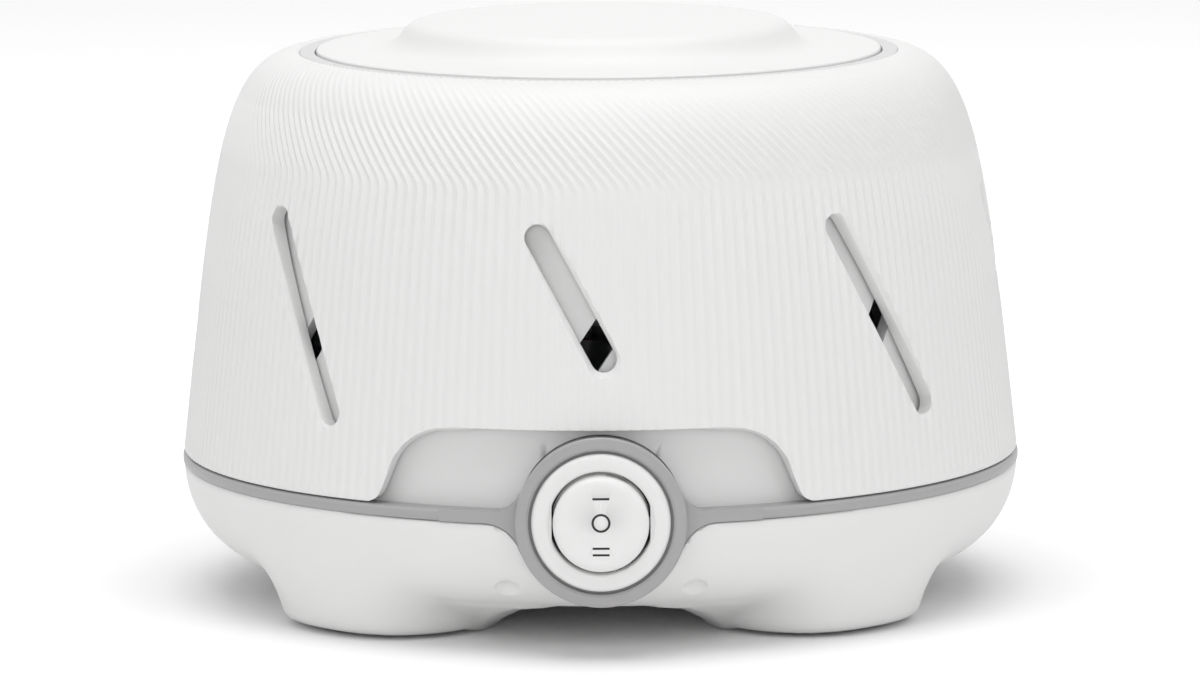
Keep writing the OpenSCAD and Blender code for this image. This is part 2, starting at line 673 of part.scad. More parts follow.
module switch_body() color(white) difference() {
    union() {
        facing() rotate_extrude() polygon([[rocker_r + rocker_gap, bezel_face - recess_t],
            [switch_r, bezel_face - recess_t], [switch_r, switch_face - 0.8],
            [switch_r - 0.3, switch_face - 0.3], [switch_r - 0.9, switch_face],
            [rocker_r + rocker_gap + 0.4, switch_face], [rocker_r + rocker_gap, switch_face - 0.3]]);
        forward(barrel_r, bezel_back - 6, bezel_face - recess_t + eps);
        // flats beside the rocker
        for (s = [-1, 1]) intersection() {
            forward(rocker_r + rocker_gap + 0.5, bezel_back, switch_face - 0.1);
            translate([s * (flat_half + rocker_gap + 2) - 2, -switch_face, bezel_h - 6]) cube([4, 12, 12]);
        }
        // catches behind the bezel's tube
        for (s = [-1, 1]) translate([s * barrel_r - 0.9, -bezel_back + 0.1, bezel_h - 2.5])
            cube([1.8, 2.2, 5]);
    }
    intersection() {
        forward(rocker_r + rocker_gap, bezel_back - 3, switch_face + 1);
        translate([-flat_half - rocker_gap, -switch_face - 2, bezel_h - 15])
            cube([2 * (flat_half + rocker_gap), 30, 30]);
    }
    translate([-flat_half - rocker_gap - 1.4, -pivot_y, bezel_h]) rotate([0, 90, 0])
        cylinder(r = trunnion_r + run_fit, h = 2 * (flat_half + rocker_gap + 1.4));
    for (z = [-6, 0, 6]) translate([-2.5, -bezel_back + 2, bezel_h + z - 0.5]) cube([5, 6, 1]);
}

// Marks sunk in the rocker: one bar above, a ring in the middle, two bars below
module rocker_marks() {
    sunk = 0.2;
    mark_lift = 0.4;
    for (z = [4.05, -4.25, -5.35])
        translate([-1.4, -rocker_face - 1, bezel_h + mark_lift + z - 0.16]) cube([2.8, 1 + sunk, 0.32]);
    translate([0, -rocker_face + sunk, bezel_h + mark_lift]) rotate([90, 0, 0]) tube(1.55, 1.23, 1 + sunk);
}

module switch_rocker() color(white) difference() {
    union() {
        intersection() {
            union() {
                forward(rocker_r, pivot_y - 0.5, rocker_face);
                // the back narrows, so that it clears the barrel when the rocker tips
                translate([0, 0.5 - pivot_y, bezel_h]) rotate([-90, 0, 0])
                    cylinder(r1 = rocker_r, r2 = rocker_r - 1.1, h = 4);
            }
            translate([-rocker_r, -pivot_y, bezel_h]) rotate([0, 90, 0])
                cylinder(r = rocker_sweep_r, h = 2 * rocker_r);
            translate([-flat_half, -rocker_face - 1, bezel_h - 15]) cube([2 * flat_half, 30, 30]);
        }
        translate([-flat_half - 1.3, -pivot_y, bezel_h]) rotate([0, 90, 0])
            cylinder(r = trunnion_r, h = 2 * flat_half + 2.6);
        forward(1.8, bezel_back - 1.5, pivot_y);
    }
    rocker_marks();
}

module switch_terminals() color("#c9a64a") for (z = [-6, 0, 6])
    translate([-2.4, -bezel_back + 4, bezel_h + z - 0.4]) cube([4.8, 9, 0.8]);

// ---- mains inlet ----
module inlet_socket(y0, y1, r) {
    for (s = [-1, 1]) translate([s * pin_pitch / 2, y0, inlet_h]) rotate([-90, 0, 0])
        cylinder(r = r, h = y1 - y0);
    translate([-pin_pitch / 2, y0, inlet_h - r + 0.6]) cube([pin_pitch, y1 - y0, 2 * r - 1.2]);
}

module power_inlet() color("#2b2b2b") difference() {
    union() {
        translate([-inlet_half_x, pocket_y, inlet_h - inlet_half_z])
            cube([2 * inlet_half_x, 1.4, 2 * inlet_half_z]);
        translate([-inlet_body_x, inlet_back, inlet_h - inlet_body_z])
            cube([2 * inlet_body_x, pocket_y - inlet_back, 2 * inlet_body_z]);
    }
    inlet_socket(socket_floor, inlet_face + 1, socket_r);
    for (s = [-1, 1]) translate([s * pin_pitch / 2, inlet_back - 1, inlet_h]) rotate([-90, 0, 0])
        cylinder(r = inlet_pin_r, h = 6);
}

module inlet_pins() color(steel) for (s = [-1, 1])
    translate([s * pin_pitch / 2, inlet_back - 3.5, inlet_h]) rotate([-90, 0, 0]) {
        cylinder(r = inlet_pin_r, h = pin_tip - inlet_back + 2.9);
        translate([0, 0, pin_tip - inlet_back + 2.9])
            cylinder(r1 = inlet_pin_r, r2 = inlet_pin_r - 0.5, h = 0.6);
    }

// ---- motor ----
module motor_plate() color(steel) translate([0, 0, plate_h]) difference() {
    cylinder(r = plate_r, h = plate_t);
    translate([0, 0, -1]) {
        cylinder(r = bush_r + 3, h = plate_t + 2);
        for (p = posts) translate([p[0], p[1], 0]) cylinder(r = grommet_neck_r, h = plate_t + 2);
        for (s = [-1, 1]) translate([s * bolt_x, 0, 0]) cylinder(r = bolt_r + run_fit, h = plate_t + 2);
        // clear of the casing screws' bosses
        at_quarters(screw_ring_r) cylinder(r = boss_r + 1.2, h = plate_t + 2);
    }
}

module plate_grommets() color("#30302e") for (p = posts) translate([p[0], p[1], post_top])
    rotate_extrude() polygon([[plate_screw_r + 0.2, 0], [grommet_r, 0], [grommet_r, grommet_below],
        [grommet_neck_r - run_fit, grommet_below], [grommet_neck_r - run_fit, grommet_below + plate_t],
        [grommet_r, grommet_below + plate_t], [grommet_r, grommet_h], [plate_screw_r + 0.2, grommet_h]]);

module plate_screws() color(steel) for (p = posts) translate([p[0], p[1], post_top - 8]) {
    cylinder(r = plate_screw_r, h = 8 + grommet_h);
    translate([0, 0, 8 + grommet_h]) cylinder(r = grommet_neck_r, h = 1.6);
}

module stator_stack() color("#6f7479") translate([0, 0, stack_low]) difference() {
    union() {
        translate([-stack_half, -stack_half, 0]) cube([2 * stack_half, 2 * stack_half, stack_t]);
        // two limbs and the leg that the coil is wound on
        for (s = [-1, 1]) translate([s * (stack_half - limb_w / 2) - limb_w / 2, 0, 0])
            cube([limb_w, core_y + core_w / 2, stack_t]);
        translate([-stack_half, core_y - core_w / 2, 0]) cube([2 * stack_half, core_w, stack_t]);
    }
    translate([0, 0, -1]) cylinder(r = rotor_r + air_gap, h = stack_t + 2);
    for (s = [-1, 1]) translate([s * bolt_x, 0, -1]) cylinder(r = bolt_r + run_fit, h = stack_t + 2);
    // slots of the shading rings
    for (s = [-1, 1]) translate([s * (rotor_r + air_gap) - 2, s * shade_y - 0.8, -1])
        cube([4, 1.6, stack_t + 2]);
}

module shading_rings() color(copper) for (s = [-1, 1]) for (z = [stack_low - 1.2, stack_top])
    translate([s * (rotor_r + air_gap + 2.4) - 1.3, s * (shade_y + 3) - 3, z]) cube([2.6, 6, 1.2]);

module coil_bobbin() color("#e8e2cf") translate([0, core_y, stack_h]) difference() {
    union() {
        cube([2 * coil_half_x, core_w + 2 * bobbin_t, stack_t + 2 * bobbin_t], center = true);
        for (s = [-1, 1]) translate([s * (coil_half_x - 0.6), 0, 0])
            cube([1.2, core_w + 2 * coil_t + 1.4, stack_t + 2 * coil_t + 1.4], center = true);
    }
    cube([2 * coil_half_x + 1, core_w + 0.1, stack_t + 0.1], center = true);
}

module coil_winding() color(copper) translate([0, core_y, stack_h]) difference() {
    cube([2 * coil_half_x - 2.6, core_w + 2 * coil_t, stack_t + 2 * coil_t], center = true);
    cube([2 * coil_half_x, core_w + 2 * bobbin_t + 0.1, stack_t + 2 * bobbin_t + 0.1], center = true);
}

// A bracket that bridges the rotor; up is 1 above the stack and -1 below it
module bracket(up) {
    z0 = up > 0 ? stack_top : stack_low;
    bridge_z = z0 + up * (bracket_rise - bracket_t / 2);
    difference() {
        union() {
            for (s = [-1, 1]) {
                translate([s * bolt_x, 0, z0 + up * bracket_t / 2])
                    cube([8, 2 * shade_y, bracket_t], center = true);
                translate([s * bracket_half, 0, z0 + up * bracket_rise / 2])
                    cube([bracket_t, 2 * shade_y, bracket_rise], center = true);
            }
            translate([0, 0, bridge_z]) {
                cube([2 * bracket_half + bracket_t, 2 * shade_y, bracket_t], center = true);
                cylinder(r = bush_r + 1.4, h = bracket_t, center = true);
            }
        }
        translate([0, 0, z0 - 20]) cylinder(r = bush_r + 0.02, h = 40);
        for (s = [-1, 1]) translate([s * bolt_x, 0, z0 - 10]) cylinder(r = bolt_r + run_fit, h = 20);
    }
}

module upper_bracket() color(steel) bracket(1);

module lower_bracket() color(steel) bracket(-1);

module upper_bushing() color("#b08d57") translate([0, 0, upper_bush_low])
    tube(bush_r, shaft_r + run_fit, bracket_t + 2.4);

module lower_bushing() color("#b08d57") translate([0, 0, lower_bridge - 1]) difference() {
    cylinder(r = bush_r, h = lower_bush_top - lower_bridge + 1);
    translate([0, 0, 0.3]) cylinder(r = shaft_r + run_fit, h = bracket_t + 3);
}

module motor_shaft() color(steel) translate([0, 0, shaft_low])
    cylinder(r = shaft_r, h = shaft_top - shaft_low);

module rotor() color("#8d9298") translate([0, 0, stack_low + rotor_inset]) difference() {
    cylinder(r = rotor_r, h = stack_t - 2 * rotor_inset);
    translate([0, 0, -1]) cylinder(r = shaft_r + 0.02, h = stack_t + 2);
}

// Washers between the rotor's ends and the bushings
module thrust_washers() color("#d8d2c0") {
    translate([0, 0, lower_bush_top + 0.2])
        tube(shaft_r + 1.6, shaft_r + 0.02, stack_low + rotor_inset - lower_bush_top - 0.2);
    translate([0, 0, stack_top - rotor_inset])
        tube(shaft_r + 1.6, shaft_r + 0.02, upper_bush_low - 0.2 - stack_top + rotor_inset);
}

module motor_bolts() color(steel) for (s = [-1, 1]) translate([s * bolt_x, 0, 0]) {
    translate([0, 0, stack_low - bracket_t - 2]) cylinder(r = bolt_r + 1.3, h = 2);
    translate([0, 0, stack_low - bracket_t])
        cylinder(r = bolt_r, h = plate_h + plate_t + nut_t + 1 - stack_low + bracket_t);
}

module motor_spacers() color(steel) for (s = [-1, 1]) translate([s * bolt_x, 0, stack_top + bracket_t])
    tube(bolt_r + 1.2, bolt_r + run_fit, plate_h - stack_top - bracket_t);

module motor_nuts() color(steel) for (s = [-1, 1])
    translate([s * bolt_x, 0, plate_h + plate_t]) difference() {
        cylinder(r = 3.2, h = nut_t, $fn = 6);
        translate([0, 0, -1]) cylinder(r = bolt_r + run_fit, h = nut_t + 2);
    }

// ---- fan ----
module fan_wheel() color("#dcdcd8") translate([0, 0, fan_low]) difference() {
    union() {
        cylinder(r = fan_r, h = 1.6);
        cylinder(r = shaft_r + 4, h = fan_h);
        translate([0, 0, fan_h]) tube(fan_r, fan_r - 9, 1.6);
        // blades: arcs of a thin tube that lean back from the turn
        for (k = [0:fan_blades - 1]) rotate([0, 0, k * 360 / fan_blades])
            translate([fan_r * 0.52, -fan_r * 0.36, 1]) rotate([0, 0, 20])
                rotate_extrude(angle = 72) translate([fan_r * 0.36, 0]) square([1.2, fan_h]);
    }
    translate([0, 0, -1]) cylinder(r = shaft_r + 0.02, h = fan_h + 2);
}

base_housing();
rubber_feet();
casing_screws();
trim_ring();
inner_housing();
glide_ring();
collar();
collar_top_ring();
top_dial();
shutter();
dial_washer();
dial_screw();
switch_body();
switch_rocker();
switch_terminals();
power_inlet();
inlet_pins();
motor_plate();
plate_grommets();
plate_screws();
motor_bolts();
motor_spacers();
motor_nuts();
stator_stack();
shading_rings();
coil_bobbin();
coil_winding();
upper_bracket();
lower_bracket();
upper_bushing();
lower_bushing();
motor_shaft();
rotor();
thrust_washers();
fan_wheel();
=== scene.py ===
"""Looks of a fan-driven white noise machine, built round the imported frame.

Shapes are worked out in millimetres and become metres when a piece is published.
"""

import logging
import math
from dataclasses import dataclass, field
from enum import Enum
from typing import Callable, Iterable, Sequence

import bmesh
import bpy
import numpy as np
from mathutils import Matrix, Vector


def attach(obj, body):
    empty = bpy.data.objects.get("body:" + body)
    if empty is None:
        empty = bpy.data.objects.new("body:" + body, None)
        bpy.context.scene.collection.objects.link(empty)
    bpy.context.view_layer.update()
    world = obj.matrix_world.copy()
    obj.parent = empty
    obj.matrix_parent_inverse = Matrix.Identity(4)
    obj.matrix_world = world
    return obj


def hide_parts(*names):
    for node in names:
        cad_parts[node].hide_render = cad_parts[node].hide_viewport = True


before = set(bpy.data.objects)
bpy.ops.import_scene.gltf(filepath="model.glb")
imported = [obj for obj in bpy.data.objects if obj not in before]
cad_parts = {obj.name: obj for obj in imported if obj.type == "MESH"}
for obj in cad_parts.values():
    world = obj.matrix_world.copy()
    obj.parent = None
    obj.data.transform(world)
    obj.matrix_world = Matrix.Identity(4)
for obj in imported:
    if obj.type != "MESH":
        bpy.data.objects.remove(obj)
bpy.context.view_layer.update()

log = logging.getLogger("noise_machine")
MM = 0.001
SEAM = 2e-3  # points of a new shape that lie closer than this, in millimetres, are one
WELD = 1e-4  # the same for a shape that is already whole
Point = tuple[float, float]
Place = tuple[float, float, float]
Colour = tuple[float, float, float]


class Body(Enum):
    """The frame's bodies on which new pieces ride."""

    BASE = "base"
    COLLAR = "collar"
    DIAL = "dial"
    ROCKER = "rocker"


class Join(Enum):
    """How two solids are put together."""

    ADD = "UNION"
    CUT = "DIFFERENCE"
    KEEP = "INTERSECT"


def linked(name: str, data: bpy.types.ID) -> bpy.types.Object:
    """A new object in the scene.

    Args:
        name: the object's name.
        data: its mesh, lamp or camera.

    Returns:
        The object, linked to the scene.
    """
    thing = bpy.data.objects.new(name, data)
    bpy.context.scene.collection.objects.link(thing)
    return thing


def settled(bm: bmesh.types.BMesh, name: str = "making") -> bpy.types.Mesh:
    """The mesh of a bmesh, which is freed.

    Args:
        bm: the bmesh, which is freed.
        name: the mesh's name.

    Returns:
        The mesh.
    """
    mesh = bpy.data.meshes.new(name)
    bm.to_mesh(mesh)
    bm.free()
    return mesh


def applied(hand: bpy.types.Object) -> "Solid":
    """What an object's modifiers make of it; the object is removed.

    Args:
        hand: the object, which is removed.

    Returns:
        The result as a solid.
    """
    graph = bpy.context.evaluated_depsgraph_get()
    mesh = bpy.data.meshes.new_from_object(hand.evaluated_get(graph), depsgraph=graph)
    bpy.data.objects.remove(hand)
    return Solid(mesh)


def about_z(degrees: float) -> Matrix:
    """A turn about Z."""
    return Matrix.Rotation(math.radians(degrees), 4, "Z")


# ---------------------------------------------------------------- curves


@dataclass(frozen=True)
class Bow:
    """A cubic curve in radius and height.

    Args:
        knots: its four control points.
        shift: distance by which it is moved to its left.
    """

    knots: tuple[Point, Point, Point, Point]
    shift: float = 0.0

    def at(self, t: float) -> Vector:
        """The point at parameter t, moved sideways by the shift.

        Args:
            t: parameter from 0 to 1.

        Returns:
            The point.
        """
        p = [Vector(k) for k in self.knots]
        u = 1 - t
        here = p[0] * u**3 + p[1] * 3 * u * u * t + p[2] * 3 * u * t * t + p[3] * t**3
        ahead = (p[1] - p[0]) * u * u + (p[2] - p[1]) * 2 * u * t + (p[3] - p[2]) * t * t
        ahead.normalize()
        return here + Vector((-ahead.y, ahead.x)) * self.shift

    def points(self, count: int) -> list[Point]:
        """Points at even parameters, both ends included."""
        return [tuple(self.at(i / count)) for i in range(count + 1)]

    def dense(self) -> tuple[np.ndarray, np.ndarray]:
        """Many points of the curve, and the length of it up to each.

        Returns:
            The points, and the length of the curve up to each.
        """
        pts = np.array(self.points(600))
        steps = np.hypot(*np.diff(pts, axis=0).T)
        return pts, np.concatenate([[0.0], np.cumsum(steps)])

    def by_length(self, lengths: Iterable[float]) -> list[Point]:
        """Points that lie the given lengths along the curve.

        Args:
            lengths: lengths from the first knot.

        Returns:
            A point for each length.
        """
        pts, run = self.dense()
        return [
            (float(np.interp(s, run, pts[:, 0])), float(np.interp(s, run, pts[:, 1])))
            for s in lengths
        ]

    def radius(self, height: float) -> float:
        """Radius of a rising or falling curve at a height.

        Args:
            height: the height.

        Returns:
            The radius there.
        """
        pts, _ = self.dense()
        order = np.argsort(pts[:, 1])
        return float(np.interp(height, pts[order, 1], pts[order, 0]))


def arc(centre: Point, radius: float, start: float, end: float, count: int) -> list[Point]:
    """Points of a round, from one angle to another in degrees."""
    angles = np.radians(np.linspace(start, end, count + 1))
    return [(centre[0] + radius * math.cos(a), centre[1] + radius * math.sin(a)) for a in angles]


def corner(before: Point, tip: Point, after: Point, radius: float, count: int = 10) -> list[Point]:
    """Points of a round in the corner between two lines.

    Args:
        before: a point on the first line.
        tip: where the lines meet.
        after: a point on the second line.
        radius: the round's radius.
        count: number of its segments.

    Returns:
        The round's points, from the first line to the second.
    """
    v = Vector(tip)
    ua, ub = (Vector(before) - v).normalized(), (Vector(after) - v).normalized()
    half = ua.angle(ub) / 2
    middle = v + (ua + ub).normalized() * radius / math.sin(half)
    first, last = v + ua * radius / math.tan(half) - middle, v + ub * radius / math.tan(half) - middle
    start = math.atan2(first.y, first.x)
    turn = math.remainder(math.atan2(last.y, last.x) - start, 2 * math.pi)
    return [
        (middle.x + radius * math.cos(start + turn * i / count),
         middle.y + radius * math.sin(start + turn * i / count))
        for i in range(count + 1)
    ]


# ---------------------------------------------------------------- solids


class Solid:
    """A mesh in the making, in millimetres, with the operations that this object needs."""

    def __init__(self, mesh: bpy.types.Mesh) -> None:
        """Takes over a Blender mesh."""
        self.mesh = mesh

    @classmethod
    def from_bmesh(cls, bm: bmesh.types.BMesh) -> "Solid":
        """Closes seams and poles, turns faces outward and keeps the result as a mesh.

        Args:
            bm: the bmesh, which is freed.

        Returns:
            The closed solid.
        """
        bmesh.ops.remove_doubles(bm, verts=bm.verts, dist=SEAM)
        bmesh.ops.recalc_face_normals(bm, faces=bm.faces)
        return cls(settled(bm))

    @classmethod
    def spun(cls, outline: Sequence[Point], steps: int) -> "Solid":
        """Spins an outline about Z.

        Args:
            outline: radius and height of its points; it closes on itself, or along the axis.
            steps: number of columns, which four or sixteen like sectors make up.

        Returns:
            The solid of revolution.
        """
        bm = bmesh.new()
        verts = [bm.verts.new((r, 0, z)) for r, z in outline]
        pairs = list(zip(verts, verts[1:] + verts[:1]))
        on_axis = outline[0][0] < SEAM and outline[-1][0] < SEAM
        edges = [bm.edges.new(pair) for pair in pairs[: len(pairs) - int(on_axis)]]
        sectors = 16 if steps % 16 == 0 else 4
        bmesh.ops.spin(
            bm, geom=verts + edges, cent=(0, 0, 0), axis=(0, 0, 1), dvec=(0, 0, 0),
            angle=2 * math.pi / sectors, steps=steps // sectors, use_merge=False,
        )
        sector = bm.verts[:] + bm.edges[:] + bm.faces[:]
        for k in range(1, sectors):
            grown = bmesh.ops.duplicate(bm, geom=sector)["geom"]
            fresh = [g for g in grown if isinstance(g, bmesh.types.BMVert)]
            turn = Matrix.Rotation(2 * math.pi * k / sectors, 3, "Z")
            bmesh.ops.rotate(bm, cent=(0, 0, 0), matrix=turn, verts=fresh)
        return cls.from_bmesh(bm)

    @classmethod
    def loft(cls, rings: Sequence[Sequence[Vector]]) -> "Solid":
        """Joins rings of points by walls and closes both ends.

        Args:
            rings: rings with the same number of points, none of them twice in a ring.

        Returns:
            The closed solid.
        """
        bm = bmesh.new()
        verts = [bm.verts.new(p) for p in rings[0]]
        edges = [bm.edges.new(pair) for pair in zip(verts, verts[1:] + verts[:1])]
        bmesh.ops.edgeloop_fill(bm, edges=edges)
        for ring in rings[1:]:
            place = {v.co.to_tuple(): i for i, v in enumerate(verts)}
            grown = bmesh.ops.extrude_edge_only(bm, edges=edges)["geom"]
            fresh = [g for g in grown if isinstance(g, bmesh.types.BMVert)]
            edges = [g for g in grown if isinstance(g, bmesh.types.BMEdge)]
            spots = [place[v.co.to_tuple()] for v in fresh]
            verts = [v for _, v in sorted(zip(spots, fresh), key=lambda pair: pair[0])]
            for v, p in zip(verts, ring):
                v.co = p
        bmesh.ops.edgeloop_fill(bm, edges=edges)
        return cls.from_bmesh(bm)

    @classmethod
    def prism(cls, outline: Sequence[Point], low: float, high: float) -> "Solid":
        """An outline in X and Y, drawn out from one height to another."""
        return cls.loft([[Vector((x, y, z)) for x, y in outline] for z in (low, high)])

    @classmethod
    def block(cls, low: Sequence[float], high: Sequence[float]) -> "Solid":
        """A box between two corners."""
        (x0, y0, z0), (x1, y1, z1) = low, high
        return cls.prism([(x0, y0), (x1, y0), (x1, y1), (x0, y1)], z0, z1)

    @classmethod
    def cylinder(cls, radius: float, low: float, high: float, steps: int = 96) -> "Solid":
        """A round bar along Z.

        Args:
            radius: the bar's radius.
            low: height of its lower end.
            high: height of its upper end.
            steps: number of its columns.

        Returns:
            The bar.
        """
        bm = bmesh.new()
        bmesh.ops.create_cone(
            bm, cap_ends=True, segments=steps, radius1=radius, radius2=radius, depth=high - low,
            matrix=Matrix.Translation((0, 0, (low + high) / 2)),
        )
        return cls.from_bmesh(bm)

    @classmethod
    def from_node(cls, node: str) -> "Solid":
        """A merged copy of a CAD node, in millimetres.

        Args:
            node: the node's name.

        Returns:
            The copy, in which loose triangles are joined.
        """
        bm = bmesh.new()
        bm.from_mesh(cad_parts[node].data)
        bmesh.ops.scale(bm, vec=(1 / MM,) * 3, verts=bm.verts)
        bmesh.ops.remove_doubles(bm, verts=bm.verts, dist=WELD)
        mesh = settled(bm)
        mesh.materials.clear()
        return cls(mesh)

    @classmethod
    def merged(cls, solids: Iterable["Solid"]) -> "Solid":
        """Solids that touch each other nowhere, as one.

        Args:
            solids: the solids.

        Returns:
            One solid with all their faces.
        """
        bm = bmesh.new()
        for solid in solids:
            bm.from_mesh(solid.mesh)
        return cls(settled(bm))

    def placed(self, matrix: Matrix) -> "Solid":
        """This solid, moved or turned in place."""
        self.mesh.transform(matrix)
        return self

    def forward(self, height: float) -> "Solid":
        """Lays the Z axis along -Y, at a height."""
        return self.placed(Matrix.Translation((0, 0, height)) @ Matrix.Rotation(math.pi / 2, 4, "X"))

    def turned(self, degrees: float) -> "Solid":
        """Turns it about Z."""
        return self.placed(about_z(degrees))

    def closed(self) -> bool:
        """Whether each edge joins two faces.

        Returns:
            True for a mesh that a manifold solver can take.
        """
        uses = np.empty(len(self.mesh.loops), dtype=np.int32)
        self.mesh.loops.foreach_get("edge_index", uses)
        return bool((np.bincount(uses, minlength=len(self.mesh.edges)) == 2).all())

    def joined(self, other: "Solid", how: Join) -> "Solid":
        """This solid with another added, cut away or kept in common.

        Args:
            other: the other solid.
            how: what is done with it.

        Returns:
            The result; neither solid is changed.
        """
        hand, tool = linked("hand", self.mesh), linked("tool", other.mesh)
        join = hand.modifiers.new("join", "BOOLEAN")
        join.operation, join.object = how.value, tool
        join.solver = "MANIFOLD" if self.closed() and other.closed() else "EXACT"
        result = applied(hand)
        bpy.data.objects.remove(tool)
        return result

    def __add__(self, other: "Solid") -> "Solid":
        """Both solids as one."""
        return self.joined(other, Join.ADD)

    def __sub__(self, other: "Solid") -> "Solid":
        """What is left of this solid when the other is cut away."""
        return self.joined(other, Join.CUT)

    def __and__(self, other: "Solid") -> "Solid":
        """What both solids share."""
        return self.joined(other, Join.KEEP)

    def moved(self, move: Callable[[np.ndarray], np.ndarray]) -> "Solid":
        """Moves all vertices by a function of their places.

        Args:
            move: takes an array of places, one in a row, and returns the new ones.

        Returns:
            This solid, changed in place.
        """
        places = np.empty(len(self.mesh.vertices) * 3)
        self.mesh.vertices.foreach_get("co", places)
        self.mesh.vertices.foreach_set("co", move(places.reshape(-1, 3)).ravel())
        self.mesh.update()
        return self

    def rounded(self, width: float, segments: int = 3, angle: float = 40.0) -> "Solid":
        """Rounds its sharp edges.

        Args:
            width: width of the round.
            segments: number of its segments.
            angle: edges sharper than this many degrees are rounded.

        Returns:
            The rounded solid.
        """
        hand = linked("hand", self.mesh)
        bevel = hand.modifiers.new("round", "BEVEL")
        bevel.width, bevel.segments, bevel.limit_method = width, segments, "ANGLE"
        bevel.angle_limit, bevel.profile = math.radians(angle), 0.5
        return applied(hand)

    def lined(self, core: "Solid", node: str) -> "Solid":
        """Gives this solid the inside of a CAD node.

        Args:
            core: a solid that lies inside the walls and covers all that is copied.
            node: the CAD node whose inside is taken.
        """
        return self - (core - Solid.from_node(node))


def publish(
    solid: Solid, name: str, body: Body, finish: "Finish", nodes: Sequence[str] = (), crease: float = 38.0
) -> bpy.types.Object:
    """Makes a finished piece of a solid.

    Args:
        solid: the shape, in millimetres.
        name: the piece's name.
        body: the body it rides on.
        finish: its material and slot.
        nodes: the CAD nodes that it stands for.
        crease: edges sharper than this many degrees stay sharp.

    Returns:
        The piece's object.
    """
    bm = bmesh.new()
    bm.from_mesh(solid.mesh)
    bmesh.ops.remove_doubles(bm, verts=bm.verts, dist=WELD)
    bmesh.ops.dissolve_degenerate(bm, edges=bm.edges, dist=WELD)
    bmesh.ops.scale(bm, vec=(MM,) * 3, verts=bm.verts)
    mesh = settled(bm, name)
    mesh.materials.clear()
    mesh.materials.append(finish.material())
    mesh.shade_smooth()
    mesh.set_sharp_from_angle(angle=math.radians(crease))
    piece = linked(name, mesh)
    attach(piece, body.value)
    if nodes:
        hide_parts(*nodes)
    mesh.calc_loop_triangles()
    log.info("%s: %d triangles on %s", name, len(mesh.loop_triangles), body.value)
    return piece


# ---------------------------------------------------------------- materials


class Wire:
    """An output socket that takes part in Python sums."""

    def __init__(self, recipe: "Recipe", socket: bpy.types.NodeSocket) -> None:
        """Wraps a socket of a recipe."""
        self.recipe, self.socket = recipe, socket

    def math(self, operation: str, *terms: "Wire | float") -> "Wire":
        """A Math node on the given terms."""
        return self.recipe.node("ShaderNodeMath", {"operation": operation}, dict(enumerate(terms)))

    def __add__(self, other: "Wire | float") -> "Wire":
        """Sum."""
        return self.math("ADD", self, other)

    __radd__ = __add__

    def __sub__(self, other: "Wire | float") -> "Wire":
        """Difference."""
        return self.math("SUBTRACT", self, other)

    def __rsub__(self, other: "Wire | float") -> "Wire":
        """Difference from a number."""
        return self.math("SUBTRACT", other, self)

    def __mul__(self, other: "Wire | float") -> "Wire":
        """Product."""
        return self.math("MULTIPLY", self, other)

    __rmul__ = __mul__

    def below(self, limit: float) -> "Wire":
        """1 where the value is under a limit, and 0 elsewhere."""
        return self.math("LESS_THAN", self, limit)

    def size(self) -> "Wire":
        """The value without its sign."""
        return self.math("ABSOLUTE", self)

    def root(self) -> "Wire":
        """Square root."""
        return self.math("SQRT", self)

    def either(self, other: "Wire") -> "Wire":
        """The larger of two values."""
        return self.math("MAXIMUM", self, other)


